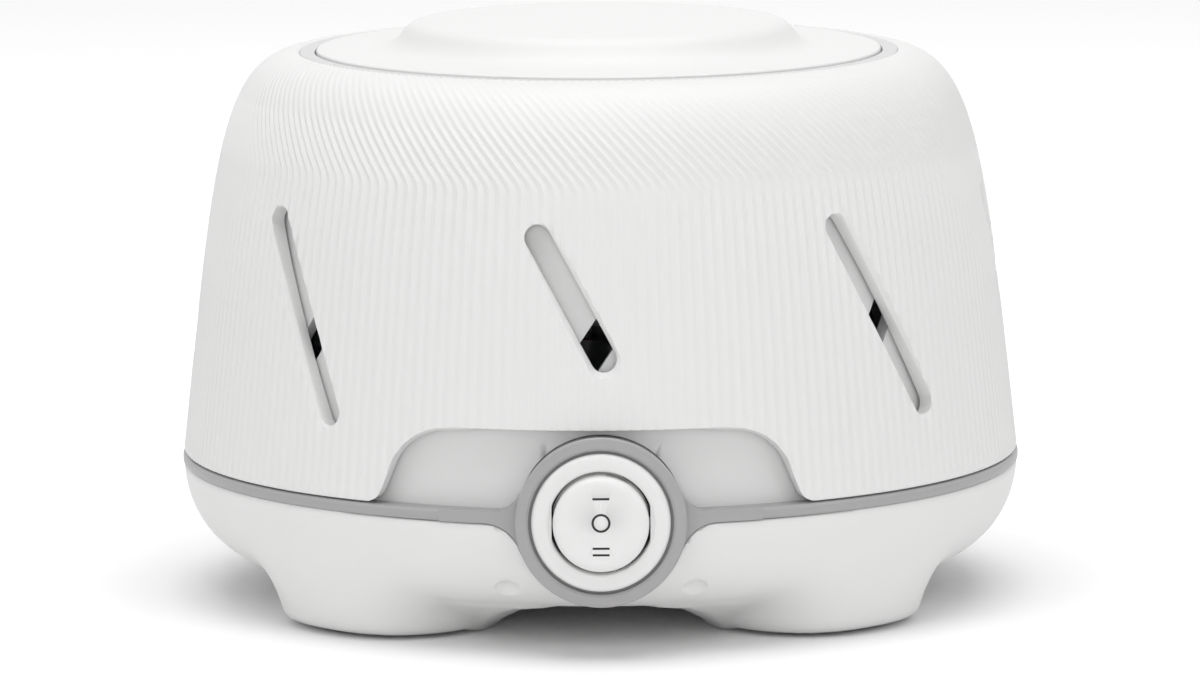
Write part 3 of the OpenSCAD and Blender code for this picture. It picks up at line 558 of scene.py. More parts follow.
class Recipe:
    """A material's nodes round one Principled shader."""

    def __init__(self, name: str) -> None:
        """Starts an empty node tree.

        Args:
            name: the material's name.
        """
        self.made = bpy.data.materials.new(name)
        self.made.use_nodes = True
        self.tree = self.made.node_tree
        self.tree.nodes.clear()
        self.output = self.tree.nodes.new("ShaderNodeOutputMaterial")
        self.shader = self.tree.nodes.new("ShaderNodeBsdfPrincipled")
        self.tree.links.new(self.shader.outputs[0], self.output.inputs["Surface"])

    def node(
        self, kind: str, settings: dict[str, object] | None = None,
        inputs: dict[int | str, "Wire | float | tuple"] | None = None, output: int | str = 0,
    ) -> Wire:
        """Adds a node.

        Args:
            kind: the node's type.
            settings: its own settings; "stops" gives a ramp's places and greys.
            inputs: values or links of its sockets.
            output: which output to return.

        Returns:
            The output, wrapped.
        """
        node = self.tree.nodes.new(kind)
        for key, value in (settings or {}).items():
            if key == "stops":
                for _ in value[2:]:
                    node.color_ramp.elements.new(0.5)
                for stop, (place, grey) in zip(node.color_ramp.elements, value):
                    stop.position, stop.color = place, (grey, grey, grey, 1)
            else:
                setattr(node, key, value)
        self.feed(node, inputs or {})
        return Wire(self, node.outputs[output])

    def feed(self, node: bpy.types.Node, inputs: dict[int | str, "Wire | float | tuple"]) -> None:
        """Sets or links a node's inputs.

        Args:
            node: the node.
            inputs: values or links by socket.
        """
        for key, value in inputs.items():
            if isinstance(value, Wire):
                self.tree.links.new(value.socket, node.inputs[key])
            else:
                node.inputs[key].default_value = value

    def place(self, stretch: Place = (1, 1, 1)) -> Wire:
        """Object coordinates, scaled along each axis."""
        raw = self.node("ShaderNodeTexCoord", output="Object")
        return self.node("ShaderNodeMapping", inputs={"Vector": raw, "Scale": stretch})

    def parts(self, where: Wire) -> list[Wire]:
        """X, Y and Z of a place."""
        split = self.node("ShaderNodeSeparateXYZ", inputs={0: where}).socket.node
        return [Wire(self, output) for output in split.outputs]

    def grain(self, scale: float, where: Wire, detail: float = 2.0, rough: float = 0.5) -> Wire:
        """Noise of a size, from 0 to 1.

        Args:
            scale: how fine it is.
            where: the coordinates.
            detail: number of finer layers.
            rough: share of each finer layer.

        Returns:
            The noise.
        """
        return self.node(
            "ShaderNodeTexNoise",
            inputs={"Vector": where, "Scale": scale, "Detail": detail, "Roughness": rough},
        )

    def ramp(self, value: Wire, *stops: tuple[float, float]) -> Wire:
        """A value bent by a ramp of greys."""
        return self.node("ShaderNodeValToRGB", {"stops": stops}, {0: value})

    def tint(self, factor: Wire, first: "Wire | Colour", second: "Wire | Colour") -> Wire:
        """A colour between two."""
        a, b = (end if isinstance(end, Wire) else (*end, 1) for end in (first, second))
        return self.node("ShaderNodeMix", {"data_type": "RGBA"}, {0: factor, 6: a, 7: b}, 2)

    def bump(self, height: Wire, depth: float) -> Wire:
        """A normal from a height of a depth in metres."""
        return self.node("ShaderNodeBump", inputs={"Height": height, "Distance": depth, "Strength": 1.0})

    def finish(self, **inputs: "Wire | float | tuple") -> bpy.types.Material:
        """Feeds the shader, by socket names with _ for a space, and returns the material."""
        self.feed(self.shader, {key.replace("_", " "): value for key, value in inputs.items()})
        return self.made


def toned(colour: Colour, gain: float) -> Colour:
    """A colour made lighter or darker."""
    return tuple(min(1.0, c * gain) for c in colour)


@dataclass(frozen=True)
class Finish:
    """What a surface is made of.

    Args:
        slot: the record's material slot.
        colour: its linear colour.
        roughness: its mean roughness.
    """

    slot: str
    colour: Colour
    roughness: float = 0.4

    def material(self) -> bpy.types.Material:
        """The material, made on first use."""
        name = f"{self.slot}_{type(self).__name__.lower()}_{round(self.colour[0] * 100)}"
        return bpy.data.materials.get(name) or self.mixed(Recipe(name))

    def mixed(self, r: Recipe) -> bpy.types.Material:
        """Mixes the material; each kind of finish has its own way."""
        return r.finish(Base_Color=(*self.colour, 1), Roughness=self.roughness)


@dataclass(frozen=True)
class Plastic(Finish):
    """Moulded plastic with a fine eroded grain and faint clouds from the flow in the mould.

    Args:
        grain_depth: depth of the grain, in metres.
        grain_scale: how fine the grain is.
        spread: by what share the clouds are lighter and darker.
    """

    grain_depth: float = 6e-6
    grain_scale: float = 2600.0
    spread: float = 0.012

    def clouded(self, r: Recipe) -> dict[str, Wire]:
        """Colour, roughness and normal of the bare plastic.

        Args:
            r: the material's recipe.

        Returns:
            Inputs of the shader by socket name.
        """
        where = r.place()
        clouds = r.grain(38.0, where, 3.0)
        fine = r.grain(self.grain_scale, where, 2.0, 0.6)
        dark, light = toned(self.colour, 1 - self.spread), toned(self.colour, 1 + self.spread)
        return {
            "Base_Color": r.tint(clouds, dark, light),
            "Roughness": clouds * 0.08 + fine * 0.06 + (self.roughness - 0.07),
            "Normal": r.bump(fine, self.grain_depth),
        }

    def mixed(self, r: Recipe) -> bpy.types.Material:
        """Adds nothing to the bare plastic."""
        return r.finish(**self.clouded(r))


@dataclass(frozen=True)
class Marks:
    """The rocker's marks, sunk into its face: one bar, a ring and two bars.

    Args:
        height: height of the ring's middle.
        face: how far in front of the machine's axis the rocker's face lies.
        depth: how deep the marks are sunk.
        bars: height of each bar over the ring's middle.
        bar: half length and half width of a bar.
        ring: inner and outer radius of the ring.
    """

    height: float = 23.7625
    face: float = 76.4
    depth: float = 0.2
    bars: tuple[float, ...] = (4.05, -4.25, -5.35)
    bar: Point = (1.4, 0.19)
    ring: Point = (1.19, 1.58)


@dataclass(frozen=True)
class MarkedPlastic(Plastic):
    """The rocker's plastic, with dark paint in its sunk marks.

    Args:
        marks: the marks.
        paint: the paint's colour.
        spill: by how much the painted outline is larger than the marks, to take in their walls.
    """

    marks: Marks = Marks()
    paint: Colour = (0.012, 0.012, 0.013)
    spill: float = 0.03

    def mixed(self, r: Recipe) -> bpy.types.Material:
        """Paints what lies under the face, within the marks' outline.

        Args:
            r: the material's recipe.

        Returns:
            The material.
        """
        bare = self.clouded(r)
        x, y, z = r.parts(r.place((1 / MM,) * 3))
        up = z - self.marks.height
        inner, outer = self.marks.ring
        mark = ((x * x + up * up).root() - (inner + outer) / 2).size().below((outer - inner) / 2 + self.spill)
        long, wide = (half + self.spill for half in self.marks.bar)
        for height in self.marks.bars:
            mark = mark.either((up - height).size().below(wide) * x.size().below(long))
        sunk = 1 - y.below(self.spill - self.marks.face)
        bare["Base_Color"] = r.tint(mark * sunk, bare["Base_Color"], self.paint)
        return r.finish(**bare)


@dataclass(frozen=True)
class Rubber(Finish):
    """Moulded rubber: dull, with a coarse bloom."""

    def mixed(self, r: Recipe) -> bpy.types.Material:
        """Dark rubber with paler dusty patches.

        Args:
            r: the material's recipe.

        Returns:
            The material.
        """
        where = r.place()
        dust = r.ramp(r.grain(90.0, where, 5.0, 0.6), (0.35, 0.0), (0.8, 1.0))
        fine = r.grain(1500.0, where, 3.0)
        return r.finish(
            Base_Color=r.tint(dust, self.colour, toned(self.colour, 1.7)),
            Roughness=dust * 0.1 + self.roughness, Normal=r.bump(fine, 2e-5),
        )


@dataclass(frozen=True)
class Metal(Finish):
    """Metal with fine lines along one way, worn by handling.

    Args:
        lines: stretch of the lines along each axis; they run where it is small.
        depth: depth of the lines, in metres.
    """

    lines: Place = (1, 1, 0.04)
    depth: float = 4e-6

    def mixed(self, r: Recipe) -> bpy.types.Material:
        """Bright metal with drawn lines and dull patches.

        Args:
            r: the material's recipe.

        Returns:
            The material.
        """
        drawn = r.grain(2400.0, r.place(self.lines), 2.0)
        dull = r.grain(160.0, r.place(), 4.0, 0.6)
        return r.finish(
            Base_Color=r.tint(dull, toned(self.colour, 0.86), toned(self.colour, 1.06)), Metallic=1.0,
            Roughness=drawn * 0.12 + dull * 0.14 + (self.roughness - 0.12), Normal=r.bump(drawn, self.depth),
        )


@dataclass(frozen=True)
class SheetIron(Finish):
    """Stacked iron sheets, half a millimetre thick, with dark oil between them."""

    def mixed(self, r: Recipe) -> bpy.types.Material:
        """Bands up Z, over clouds of oil.

        Args:
            r: the material's recipe.

        Returns:
            The material.
        """
        sheets = r.node(
            "ShaderNodeTexWave", {"wave_type": "BANDS", "bands_direction": "Z", "wave_profile": "SIN"},
            {"Vector": r.place(), "Scale": 640.0, "Distortion": 0.0}, 1,
        )
        seam = r.ramp(sheets, (0.0, 0.0), (0.35, 1.0))
        oil = r.grain(120.0, r.place(), 4.0)
        return r.finish(
            Base_Color=r.tint(seam * (oil * 0.5 + 0.6), toned(self.colour, 0.35), self.colour),
            Metallic=0.9, Roughness=oil * 0.2 + self.roughness, Normal=r.bump(seam, 3e-5),
        )


SHELL = Plastic("shell", (0.755, 0.755, 0.75), 0.5)
# The cup's plastic is the shell's white made darker: painted shade for the cup, which sits in shade behind
# the collar's window and slots.
SHELL_IN_PAINTED_SHADE = Plastic("shell", (0.69, 0.69, 0.687), 0.5)
TRIM = Plastic("trim", (0.36, 0.355, 0.36), 0.42, grain_depth=4e-6, spread=0.03)
RING = Plastic("trim", (0.6, 0.6, 0.598), 0.4, grain_depth=4e-6, spread=0.02)
SWITCH = Plastic("switch_white", (0.77, 0.77, 0.765), 0.3, grain_depth=2e-6)
ROCKER = MarkedPlastic("switch_white", (0.77, 0.77, 0.765), 0.3, grain_depth=2e-6)
INLET = Plastic("inlet_plastic", (0.02, 0.02, 0.021), 0.45, spread=0.2)
NYLON = Plastic("nylon", (0.7, 0.66, 0.56), 0.5, spread=0.05)
FAN = Plastic("fan_plastic", (0.57, 0.57, 0.555), 0.45, spread=0.04)
FOOT = Rubber("foot_rubber", (0.022, 0.022, 0.023), 0.78)
GROMMET = Rubber("grommet_rubber", (0.012, 0.012, 0.013), 0.7)
ZINC = Metal("zinc_steel", (0.6, 0.62, 0.64), 0.36, lines=(0.06, 1, 1))
GROUND = Metal("shaft_steel", (0.55, 0.56, 0.58), 0.24, lines=(1, 1, 1.0))
PIN = Metal("pin_metal", (0.66, 0.62, 0.5), 0.22)
ROTOR = Metal("rotor_metal", (0.42, 0.43, 0.45), 0.4, lines=(0.05, 0.05, 1))
BRONZE = Metal("bronze", (0.5, 0.33, 0.14), 0.45, lines=(1, 1, 1), depth=1e-5)
COPPER = Metal("copper", (0.55, 0.19, 0.07), 0.32, lines=(0.05, 1, 1))
STACK = SheetIron("stack_iron", (0.2, 0.21, 0.22), 0.42)

KEPT_NODES: dict[Finish, tuple[str, ...]] = {
    NYLON: ("glide_ring", "shutter", "coil_bobbin", "thrust_washers"),
    FAN: ("fan_wheel",),
    GROMMET: ("plate_grommets",),
    ZINC: (
        "casing_screws", "dial_washer", "dial_screw", "motor_plate", "plate_screws", "motor_bolts",
        "motor_spacers", "motor_nuts", "upper_bracket", "lower_bracket",
    ),
    GROUND: ("motor_shaft",),
    PIN: ("inlet_pins", "switch_terminals"),
    ROTOR: ("rotor",),
    BRONZE: ("upper_bushing", "lower_bushing"),
    COPPER: ("shading_rings",),
    STACK: ("stator_stack",),
}


# ---------------------------------------------------------------- the machine

SWITCH_H = 23.3625  # height of the switch's axis
BAND_LOW, BAND_HIGH = 22.85, 24.9  # edges of the grey band
WALL_KNOTS = ((72.95, 25.15), (67.38, 74.98), (66.02, 94.26), (52.1, 94.75))  # outside of the collar's wall
SLOTS = 8  # slots of the collar, and vents of the cup
QUARTERS = (45.0, 135.0, 225.0, 315.0)  # where the foot lobes stand
SCREW_R = 55.5  # circle of the casing screws
BARREL = (58.1, 78.0)  # from where to where the switch's barrel needs room, outward from the axis


def at_quarters(make: Callable[[], Solid], radius: float) -> Solid:
    """Four like solids, one at each foot lobe, on a circle."""
    return Solid.merged(make().placed(about_z(a) @ Matrix.Translation((radius, 0, 0))) for a in QUARTERS)


@dataclass(frozen=True)
class Slit:
    """A round-ended slot cut through a wall.

    Args:
        width: its width inside.
        flare: by how much each side opens outward in its outer lip.
        wall: thickness of the wall.
        lip: depth of the outer lip, in which it opens.
        drop: by how much the lower end opens further than the sides.
        past: how far the cutter reaches past the wall on both sides.
        proud: how far outside the wall its outer rim lies.
    """

    width: float
    flare: float
    wall: float
    lip: float = 1.0
    drop: float = 0.0
    past: float = 7.0
    proud: float = 0.6

    def cutter(self, low: Point, high: Point, seat: Matrix) -> Solid:
        """The cutter, whose inner face lies in the seat's plane of X and Z.

        Args:
            low: middle of its lower end in X and Z.
            high: middle of its upper end.
            seat: takes the cutter to its place.

        Returns:
            The cutter, in its place.
        """
        run = Vector(high) - Vector(low)
        along = math.degrees(math.atan2(run.y, run.x))
        rings = []
        for depth in (-self.past, self.wall - self.lip, self.wall + self.proud, self.wall + self.past):
            share = max(depth - self.wall + self.lip, 0.0) / self.lip
            reach = self.width / 2 + self.flare * share
            foot = tuple(Vector(low) - run.normalized() * self.drop * share)
            upper = arc(high, reach, along - 90, along + 90, 16)
            lower = arc(foot, reach, along + 90, along + 270, 16)
            rings.append([Vector((x, -depth, z)) for x, z in upper + lower])
        return Solid.loft(rings).placed(seat)


@dataclass
class Collar:
    """The turning collar: a ribbed wall whose ribs swirl into the shoulder, with slots and a window.

    Lengths along the wall are counted up its outside, from the foot.
    """

    curve: Bow = Bow(WALL_KNOTS)
    wall: float = 3.0
    foot_h: float = 25.15
    rim_r: float = 52.1
    ledge: tuple[Point, Point] = ((46.8, 90.55), (52.1, 92.55))
    ribs: int = 224
    rib_depth: float = 0.33
    rib_marks: tuple[float, ...] = (0, 1.5, 58, 66, 72)  # lengths, to which the rim's is added
    rib_shares: tuple[float, ...] = (0.6, 1, 1, 0.6, 0.35, 0.4)  # of the ribs' depth there
    swirl_from: float = 52.3
    swirl_rise: float = 2.7
    swirl_slope: float = 0.85
    rest_turn: float = -1.6
    slot_heights: Place = (38.8, 70.0, 49.8)
    slot_lean: float = 28.5
    slit: Slit = Slit(4.4, 0.85, 3.0, 1.2, 0.6)
    window: tuple[Point, Point] = ((30.0, 37.5), (35.0, 25.15))
    window_bevel: float = 0.99
    window_rounds: Point = (9.5, 3.2)
    window_reach: Point = (-90.0, -42.0)
    ring_r: Point = (49.4, 52.05)
    ring_h: Point = (92.55, 94.6)
    ring_edge: float = 0.25

    def outline(self) -> list[Point]:
        """The wall's closed outline: up the outside, over the rim and the ledge, down the inside.

        Returns:
            The outline's points.
        """
        _, run = self.curve.dense()
        straight = np.linspace(5, self.swirl_from, 12)
        swirled = np.linspace(self.swirl_from, run[-1] - 0.5, 28)[1:]
        outside = self.curve.by_length([0.5, 1.2, *straight, *swirled])
        inner = Bow(self.curve.knots, self.wall)
        low, high = self.ledge
        inside = [
            (r, z) for r, z in inner.points(30) if r > low[0] + 2 and self.foot_h + 0.5 < z < low[1] - 0.3
        ]
        foot_out, foot_in, foot_h = self.curve.at(0).x, inner.radius(self.foot_h), self.foot_h
        rim = self.curve.at(1)
        foot = [(foot_in + 0.3, foot_h), (foot_out - 0.45, foot_h), (foot_out - 0.12, foot_h + 0.12)]
        mouth = [(rim.x + 0.25, rim.y - 0.05), (rim.x, rim.y - 0.3), (self.rim_r, high[1]), (low[0], high[1])]
        under = [low, (inner.radius(low[1]), low[1])]
        return [*foot, *outside, *mouth, *under, *reversed(inside), (foot_in, foot_h + 0.3)]

    def swirl(self, places: np.ndarray) -> np.ndarray:
        """Turns each height by its part of the swirl and sinks the ribs' valleys.

        Args:
            places: the wall's vertices.

        Returns:
            Their new places.
        """
        r, z = np.hypot(places[:, 0], places[:, 1]), places[:, 2]
        azimuth = np.arctan2(places[:, 1], places[:, 0])
        pts, run = self.curve.dense()
        slope = self.swirl_slope * np.clip((run - self.swirl_from) / self.swirl_rise, 0, 1)
        turn = -np.concatenate([[0], np.cumsum((slope / pts[:, 0])[1:] * np.diff(run))])
        spots = np.round(np.c_[r, z], 3)
        near = np.array([np.argmin((pts[:, 0] - a) ** 2 + (pts[:, 1] - b) ** 2) for a, b in spots])
        length = run[near]
        depth = np.interp(length, (*self.rib_marks, run[-1]), self.rib_shares) * self.rib_depth
        on_outside = np.hypot(pts[near, 0] - r, pts[near, 1] - z) < 0.35
        sink = np.where(on_outside, depth, 0.0) * (1 - np.cos(azimuth * self.ribs)) / 2
        step = np.gradient(pts, axis=0)
        step /= np.hypot(*step.T)[:, None]
        clear_of_foot = length > 3
        r_new, z_new = r - sink * step[near, 1], z + sink * step[near, 0] * clear_of_foot
        azimuth = azimuth + turn[near]
        return np.c_[r_new * np.cos(azimuth), r_new * np.sin(azimuth), z_new]

    def slots(self) -> list[Solid]:
        """Cutters of the slots, of which the front one is shorter.

        Returns:
            One cutter for each slot, the front one first.
        """
        low_h, high_h, front_h = self.slot_heights
        inner = Bow(self.curve.knots, self.wall)
        mid = (low_h + high_h) / 2
        lean = math.atan2(inner.radius(low_h) - inner.radius(high_h), high_h - low_h)
        seat = Matrix.Translation((0, -inner.radius(mid), mid)) @ Matrix.Rotation(-lean, 4, "X")
        drift = math.tan(math.radians(self.slot_lean))
        cutters = []
        for k in range(SLOTS):
            start = front_h if k == 0 else low_h
            ends = [((mid - h) * drift, h - mid) for h in (start, high_h)]
            cutters.append(self.slit.cutter(*ends, about_z(360 / SLOTS * k) @ seat))
        return cutters

    def window_cutter(self) -> Solid:
        """Cutter of the front window, a little wider at the wall's outside.

        Returns:
            The cutter.
        """
        (top_x, top_h), (low_x, low_h) = self.window
        (upper_round, lower_round), (before, behind) = self.window_rounds, self.window_reach
        bevel, wall = self.window_bevel, self.wall
        rings = []
        for grow, depth, flat in ((bevel, 0, before), (bevel, -0.3, None), (0, wall, None), (0, 0, behind)):
            tip, sill = (top_x + grow, top_h + grow), (low_x + grow, low_h)
            side = corner((0, top_h + grow), tip, sill, upper_round + grow, 14)
            foot = corner((top_x + grow, top_h), sill, (low_x + 20, low_h), lower_round, 8)
            half = [*side, *foot, (foot[-1][0], low_h - 4)]
            ring = []
            for x, z in half + [(-x, z) for x, z in reversed(half)]:
                r = self.curve.radius(max(z, low_h))
                ring.append(Vector((x, depth - math.sqrt(r * r - x * x) if flat is None else flat, z)))
            rings.append(ring)
        return Solid.loft(rings)

    def build(self) -> Solid:
        """The collar in its rest turn.

        Returns:
            The collar.
        """
        wall = Solid.spun(self.outline(), 4 * self.ribs).moved(self.swirl)
        cutters = Solid.merged([self.window_cutter(), *self.slots()])
        return (wall - cutters).turned(self.rest_turn)

    def ring(self) -> Solid:
        """The flat ring in the collar's mouth.

        Returns:
            The ring.
        """
        (inner, outer), (low, high), edge = self.ring_r, self.ring_h, self.ring_edge
        return Solid.spun([(inner, low), (outer, low), *arc((outer - edge, high - edge), edge, 0, 90, 4),
                           *arc((inner + edge, high - edge), edge, 90, 180, 4)], 256)

    def dress(self) -> None:
        """Publishes the collar and the grey ring in its mouth."""
        publish(self.build(), "ribbed_collar", Body.COLLAR, SHELL, ["collar"])
        publish(self.ring(), "mouth_ring", Body.COLLAR, RING, ["collar_top_ring"])


@dataclass
class Housing:
    """The fixed cup behind the collar, with vents of the other slant and the deck."""

    curve: Bow = Bow(WALL_KNOTS, 3.5)
    foot_h: float = BAND_HIGH
    deck_h: float = 89.75
    crown: Point = (46.0, 93.5)
    vent_lean: float = 34.0
    vent_h: float = 52.8
    vent_length: float = 25.0
    slit: Slit = Slit(5.14, 0.0, 5.0)
    bezel_r: float = 13.95

    def vents(self) -> list[Solid]:
        """Cutters of the vents.

        Returns:
            One cutter for each vent.
        """
        lean = math.radians(self.vent_lean)
        half = Vector((math.sin(lean), math.cos(lean))) * self.vent_length / 2
        seat = Matrix.Translation((0, -self.curve.radius(self.vent_h) + 3, self.vent_h))
        turns = [about_z(360 / SLOTS * k) for k in range(SLOTS)]
        return [self.slit.cutter(tuple(-half), tuple(half), turn @ seat) for turn in turns]

    def build(self) -> Solid:
        """The cup, its vents and what the CAD has inside it.

        Returns:
            The cup.
        """
        side = [p for p in self.curve.points(48) if self.foot_h < p[1] < self.deck_h - 0.2]
        foot_r, deck_r = self.curve.radius(self.foot_h), self.curve.radius(self.deck_h)
        skin = Solid.spun([(0, self.foot_h), (foot_r, self.foot_h), *side, (deck_r, self.deck_h),
                           (self.crown[0], self.deck_h), self.crown, (0, self.crown[1])], 288)
        deep = Bow(self.curve.knots, self.curve.shift + 1.0)
        inner = [p for p in deep.points(24) if self.foot_h + 2 < p[1] < self.deck_h - 1]
        core = Solid.spun([(0, self.foot_h - 4), (foot_r - 1, self.foot_h - 4), *inner,
                           (inner[-1][0], 95), (0, 95)], 144)
        bezel = Solid.cylinder(self.bezel_r, *BARREL, 128).forward(SWITCH_H)
        return skin.lined(core, "inner_housing") - Solid.merged(self.vents()) - bezel

    def dress(self) -> None:
        """Publishes the cup."""
        # The cup wears the shell's plastic painted darker, as painted shade.
        publish(self.build(), "vented_cup", Body.BASE, SHELL_IN_PAINTED_SHADE, ["inner_housing"])


def smooth_low(a: np.ndarray, b: np.ndarray, blend: float) -> np.ndarray:
    """The lower of two fields, with a soft change between them."""
    near = np.clip(0.5 + 0.5 * (b - a) / blend, 0, 1)
    return b * (1 - near) + a * near - blend * near * (1 - near)


def smooth_high(a: np.ndarray, b: np.ndarray, blend: float) -> np.ndarray:
    """The higher of two fields, with a soft change between them."""
    return -smooth_low(-a, -b, blend)


@dataclass
class Web:
    """The band's front, widened into the round bezel by a fillet in each corner."""

    bezel_r: float = 14.3
    band_r: float = 73.1
    upper_fillet: float = 3.6
    lower_fillet: float = 6.5
    stub_x: float = 27.0
    rise: float = 13.0

    def fillet(self, edge: float, up: int, radius: float, grow: float) -> list[Point]:
        """The round that leads from the band's edge to the bezel, on the side of +X.

        Args:
            edge: height of the band's edge.
            up: 1 above the band, -1 below it.
            radius: radius of the round.
            grow: by how much the outline is grown.

        Returns:
            The round's points, from the band to the bezel.
        """
        reach = self.bezel_r + radius
        over = edge + up * radius - SWITCH_H
        run = math.sqrt(reach * reach - over * over)
        start = -90.0 * up
        turn = math.degrees(math.remainder(math.atan2(-over, -run) - math.radians(start), 2 * math.pi))
        return arc((run, edge + up * radius), radius - grow, start, start + turn, 14)

    def outline(self, inset: float, grow: float, end: float) -> list[Point]:
        """Outline seen from the front.

        Args:
            inset: by how much the band's two edges are drawn in.
            grow: by how much the fillets and the bezel are grown; it fades out along the band.
            end: half length of the band's stub.

        Returns:
            The outline's points, in X and Z.
        """
        low, high = BAND_LOW + inset, BAND_HIGH - inset
        upper = self.fillet(high, 1, self.upper_fillet, grow)
        lower = self.fillet(low, -1, self.lower_fillet, grow)
        side = [*reversed(lower), (end, low), (end, high), *upper]
        mirrored = [(-x, z) for x, z in reversed(side)]
        return [(0, SWITCH_H - self.rise), *side, (0, SWITCH_H + self.rise), *mirrored]

    def front(self, outline: Sequence[Point], profile: Sequence[Point]) -> Solid:
        """The outline, drawn through a ring whose section is given."""
        slab = Solid.prism(outline, 50.0, self.band_r + 4).placed(Matrix.Rotation(math.pi / 2, 4, "X"))
        return slab & Solid.spun(profile, 368)


@dataclass
class Base:
    """The lower shell: a bowl that flows into four foot lobes."""

    web: Web = field(default_factory=Web)

    curve: Bow = Bow(((72.9, BAND_LOW), (72.5, 14.7), (67.8, 9.0), (61.1, 6.7)))
    top_h: float = BAND_LOW
    belly_h: float = 6.7
    sole_h: float = 0.6
    lobe_r: float = 50.5
    eye: Point = (40.0, BAND_LOW)
    last_angle: float = 158.02
    lobe_side: tuple[Point, ...] = (
        (18.6, 0.6), (18.9, 2.9), (19.4, 4.6), (20.1, 6.2), (21.0, 8.0), (22.5, 10.7), (24.1, 14.1),
        (27.0, 18.5),
    )
    lobe_front: tuple[Point, ...] = (
        (67.5, 0.6), (68.9, 2.2), (69.6, 5.0), (70.2, 9.4), (70.8, 14.1), (71.2, 18.0),
    )
    cove: tuple[Point, ...] = (
        (17.8, 0.8), (20.5, 2.0), (23.5, 3.5), (26.9, 5.0), (30.9, 6.2), (35.9, 6.7),
    )
    notch_r: float = 14.53
    pocket: tuple[Place, Place] = ((-13.33, 64.58, 9.27), (13.33, 80, 20.93))
    seat: Point = (12.13, 1.83)
    screw_head: Point = (3.43, 5.03)
    dimple_angle: float = 13.3
    dimple_ball: float = 3.6
    dimple_at: Point = (70.1, 9.1)

    def excess(self, x: np.ndarray, y: np.ndarray, z: np.ndarray) -> np.ndarray:
        """How far a point lies outside the base's form; below 0 it is inside.

        Args:
            x: the points in X.
            y: the points in Y.
            z: the points in height.

        Returns:
            The distance, below 0 inside.
        """
        pts, _ = self.curve.dense()
        rise = pts[::-1]
        slope = np.gradient(rise[:, 0], rise[:, 1])
        r = np.hypot(x, y)
        side = (r - np.interp(z, rise[:, 1], rise[:, 0])) / np.sqrt(1 + np.interp(z, rise[:, 1], slope) ** 2)
        bowl = smooth_high(side, self.belly_h - z, 1.5)
        azimuth = np.mod(np.arctan2(y, x), math.pi / 2) - math.pi / 4
        away = np.hypot(r * np.cos(azimuth) - self.lobe_r, r * np.sin(azimuth))

        def radius(table: tuple[Point, ...]) -> np.ndarray:
            """Radius at each height, from a table."""
            return np.interp(z, [p[1] for p in table], [p[0] for p in table])

        pad = smooth_high(away - radius(self.lobe_side), r - radius(self.lobe_front), 4.0)
        pad = smooth_high(pad, self.sole_h - z, 2.6)
        hollow = np.maximum(away - radius(self.cove), self.sole_h + 0.2 - z)
        hollow = np.maximum(hollow, np.maximum(r - (49.1 + z * 12.5 / self.belly_h), z - self.belly_h))
        return smooth_low(smooth_low(bowl, hollow, 1.2), pad, 2.4)

    def shaped(self, places: np.ndarray) -> np.ndarray:
        """Moves each point along its ray from the eye, in its own upright plane, to the form's surface.

        Args:
            places: the points.

        Returns:
            Their new places.
        """
        r, z = np.hypot(places[:, 0], places[:, 1]), places[:, 2]
        free = (r > 1e-3) & (z < self.top_h - 1e-4)
        azimuth = np.arctan2(places[:, 1], places[:, 0])
        angle = np.arctan2(self.eye[1] - z, r - self.eye[0])
        low, high = np.zeros_like(r), np.full_like(r, 60.0)
        for _ in range(26):
            mid = (low + high) / 2
            rr, zz = self.eye[0] + mid * np.cos(angle), self.eye[1] - mid * np.sin(angle)
            inside = self.excess(rr * np.cos(azimuth), rr * np.sin(azimuth), zz) < 0
            low, high = np.where(inside, mid, low), np.where(inside, high, mid)
        rr, zz = self.eye[0] + low * np.cos(angle), self.eye[1] - low * np.sin(angle)
        moved = np.c_[rr * np.cos(azimuth), rr * np.sin(azimuth), zz]
        return np.where(free[:, None], moved, places)

    def skin(self, steps: int = 480) -> Solid:
        """The whole outer form, as one filled solid.

        Args:
            steps: number of columns round the axis.

        Returns:
            The solid.
        """
        angles = np.radians([*np.linspace(0.8, 62, 34), *np.linspace(63.5, self.last_angle - 1.5, 44)])
        rays = [(self.eye[0] + 35 * math.cos(a), self.eye[1] - 35 * math.sin(a)) for a in angles]
        outline = [(0, self.top_h), (72.65, self.top_h), *rays, (0, self.belly_h)]
        return Solid.spun(outline, steps).moved(self.shaped)

    def core(self) -> Solid:
        """What the inside is copied from: the hollow of the bowl, of the lobes and the room above.

        Returns:
            The solid that the CAD is copied through.
        """
        deep = Bow(self.curve.knots, -1.0)
        side = [p for p in deep.points(20) if p[1] < 20.0]
        room = [(0, 42.5), (64, 42.5), (64, 24.0), (71.9, 24.0)]
        bowl = Solid.spun([*room, *side, (0, self.belly_h + 1.0)], 144)
        return bowl + at_quarters(lambda: Solid.cylinder(16.4, 1.95, 12.0, 72), self.lobe_r)

    def cutters(self) -> Solid:
        """Notch of the bezel, seats of the feet, sunk screw heads and pocket of the inlet.

        Returns:
            All cutters as one.
        """
        tools = [Solid.cylinder(self.notch_r, *BARREL, 128).forward(SWITCH_H), Solid.block(*self.pocket)]
        for a in QUARTERS:
            seat = Solid.cylinder(self.seat[0], -1.0, self.seat[1], 128)
            head = Solid.cylinder(self.screw_head[0], -2.0, self.screw_head[1], 48)
            seat.placed(Matrix.Translation((self.lobe_r, 0, 0)))
            head.placed(Matrix.Translation((SCREW_R, 0, 0)))
            tools.append((seat + head).turned(a))
        return Solid.merged(tools)

    def web_seat(self) -> Solid:
        """Cutter of the shallow seat of the band's webs, which leaves a fine gap round them."""
        section = [(71.8, 8.0), (76.0, 8.0), (76.0, 40.0), (71.8, 40.0)]
        return self.web.front(self.web.outline(0.0, 0.2, 42.0), section)

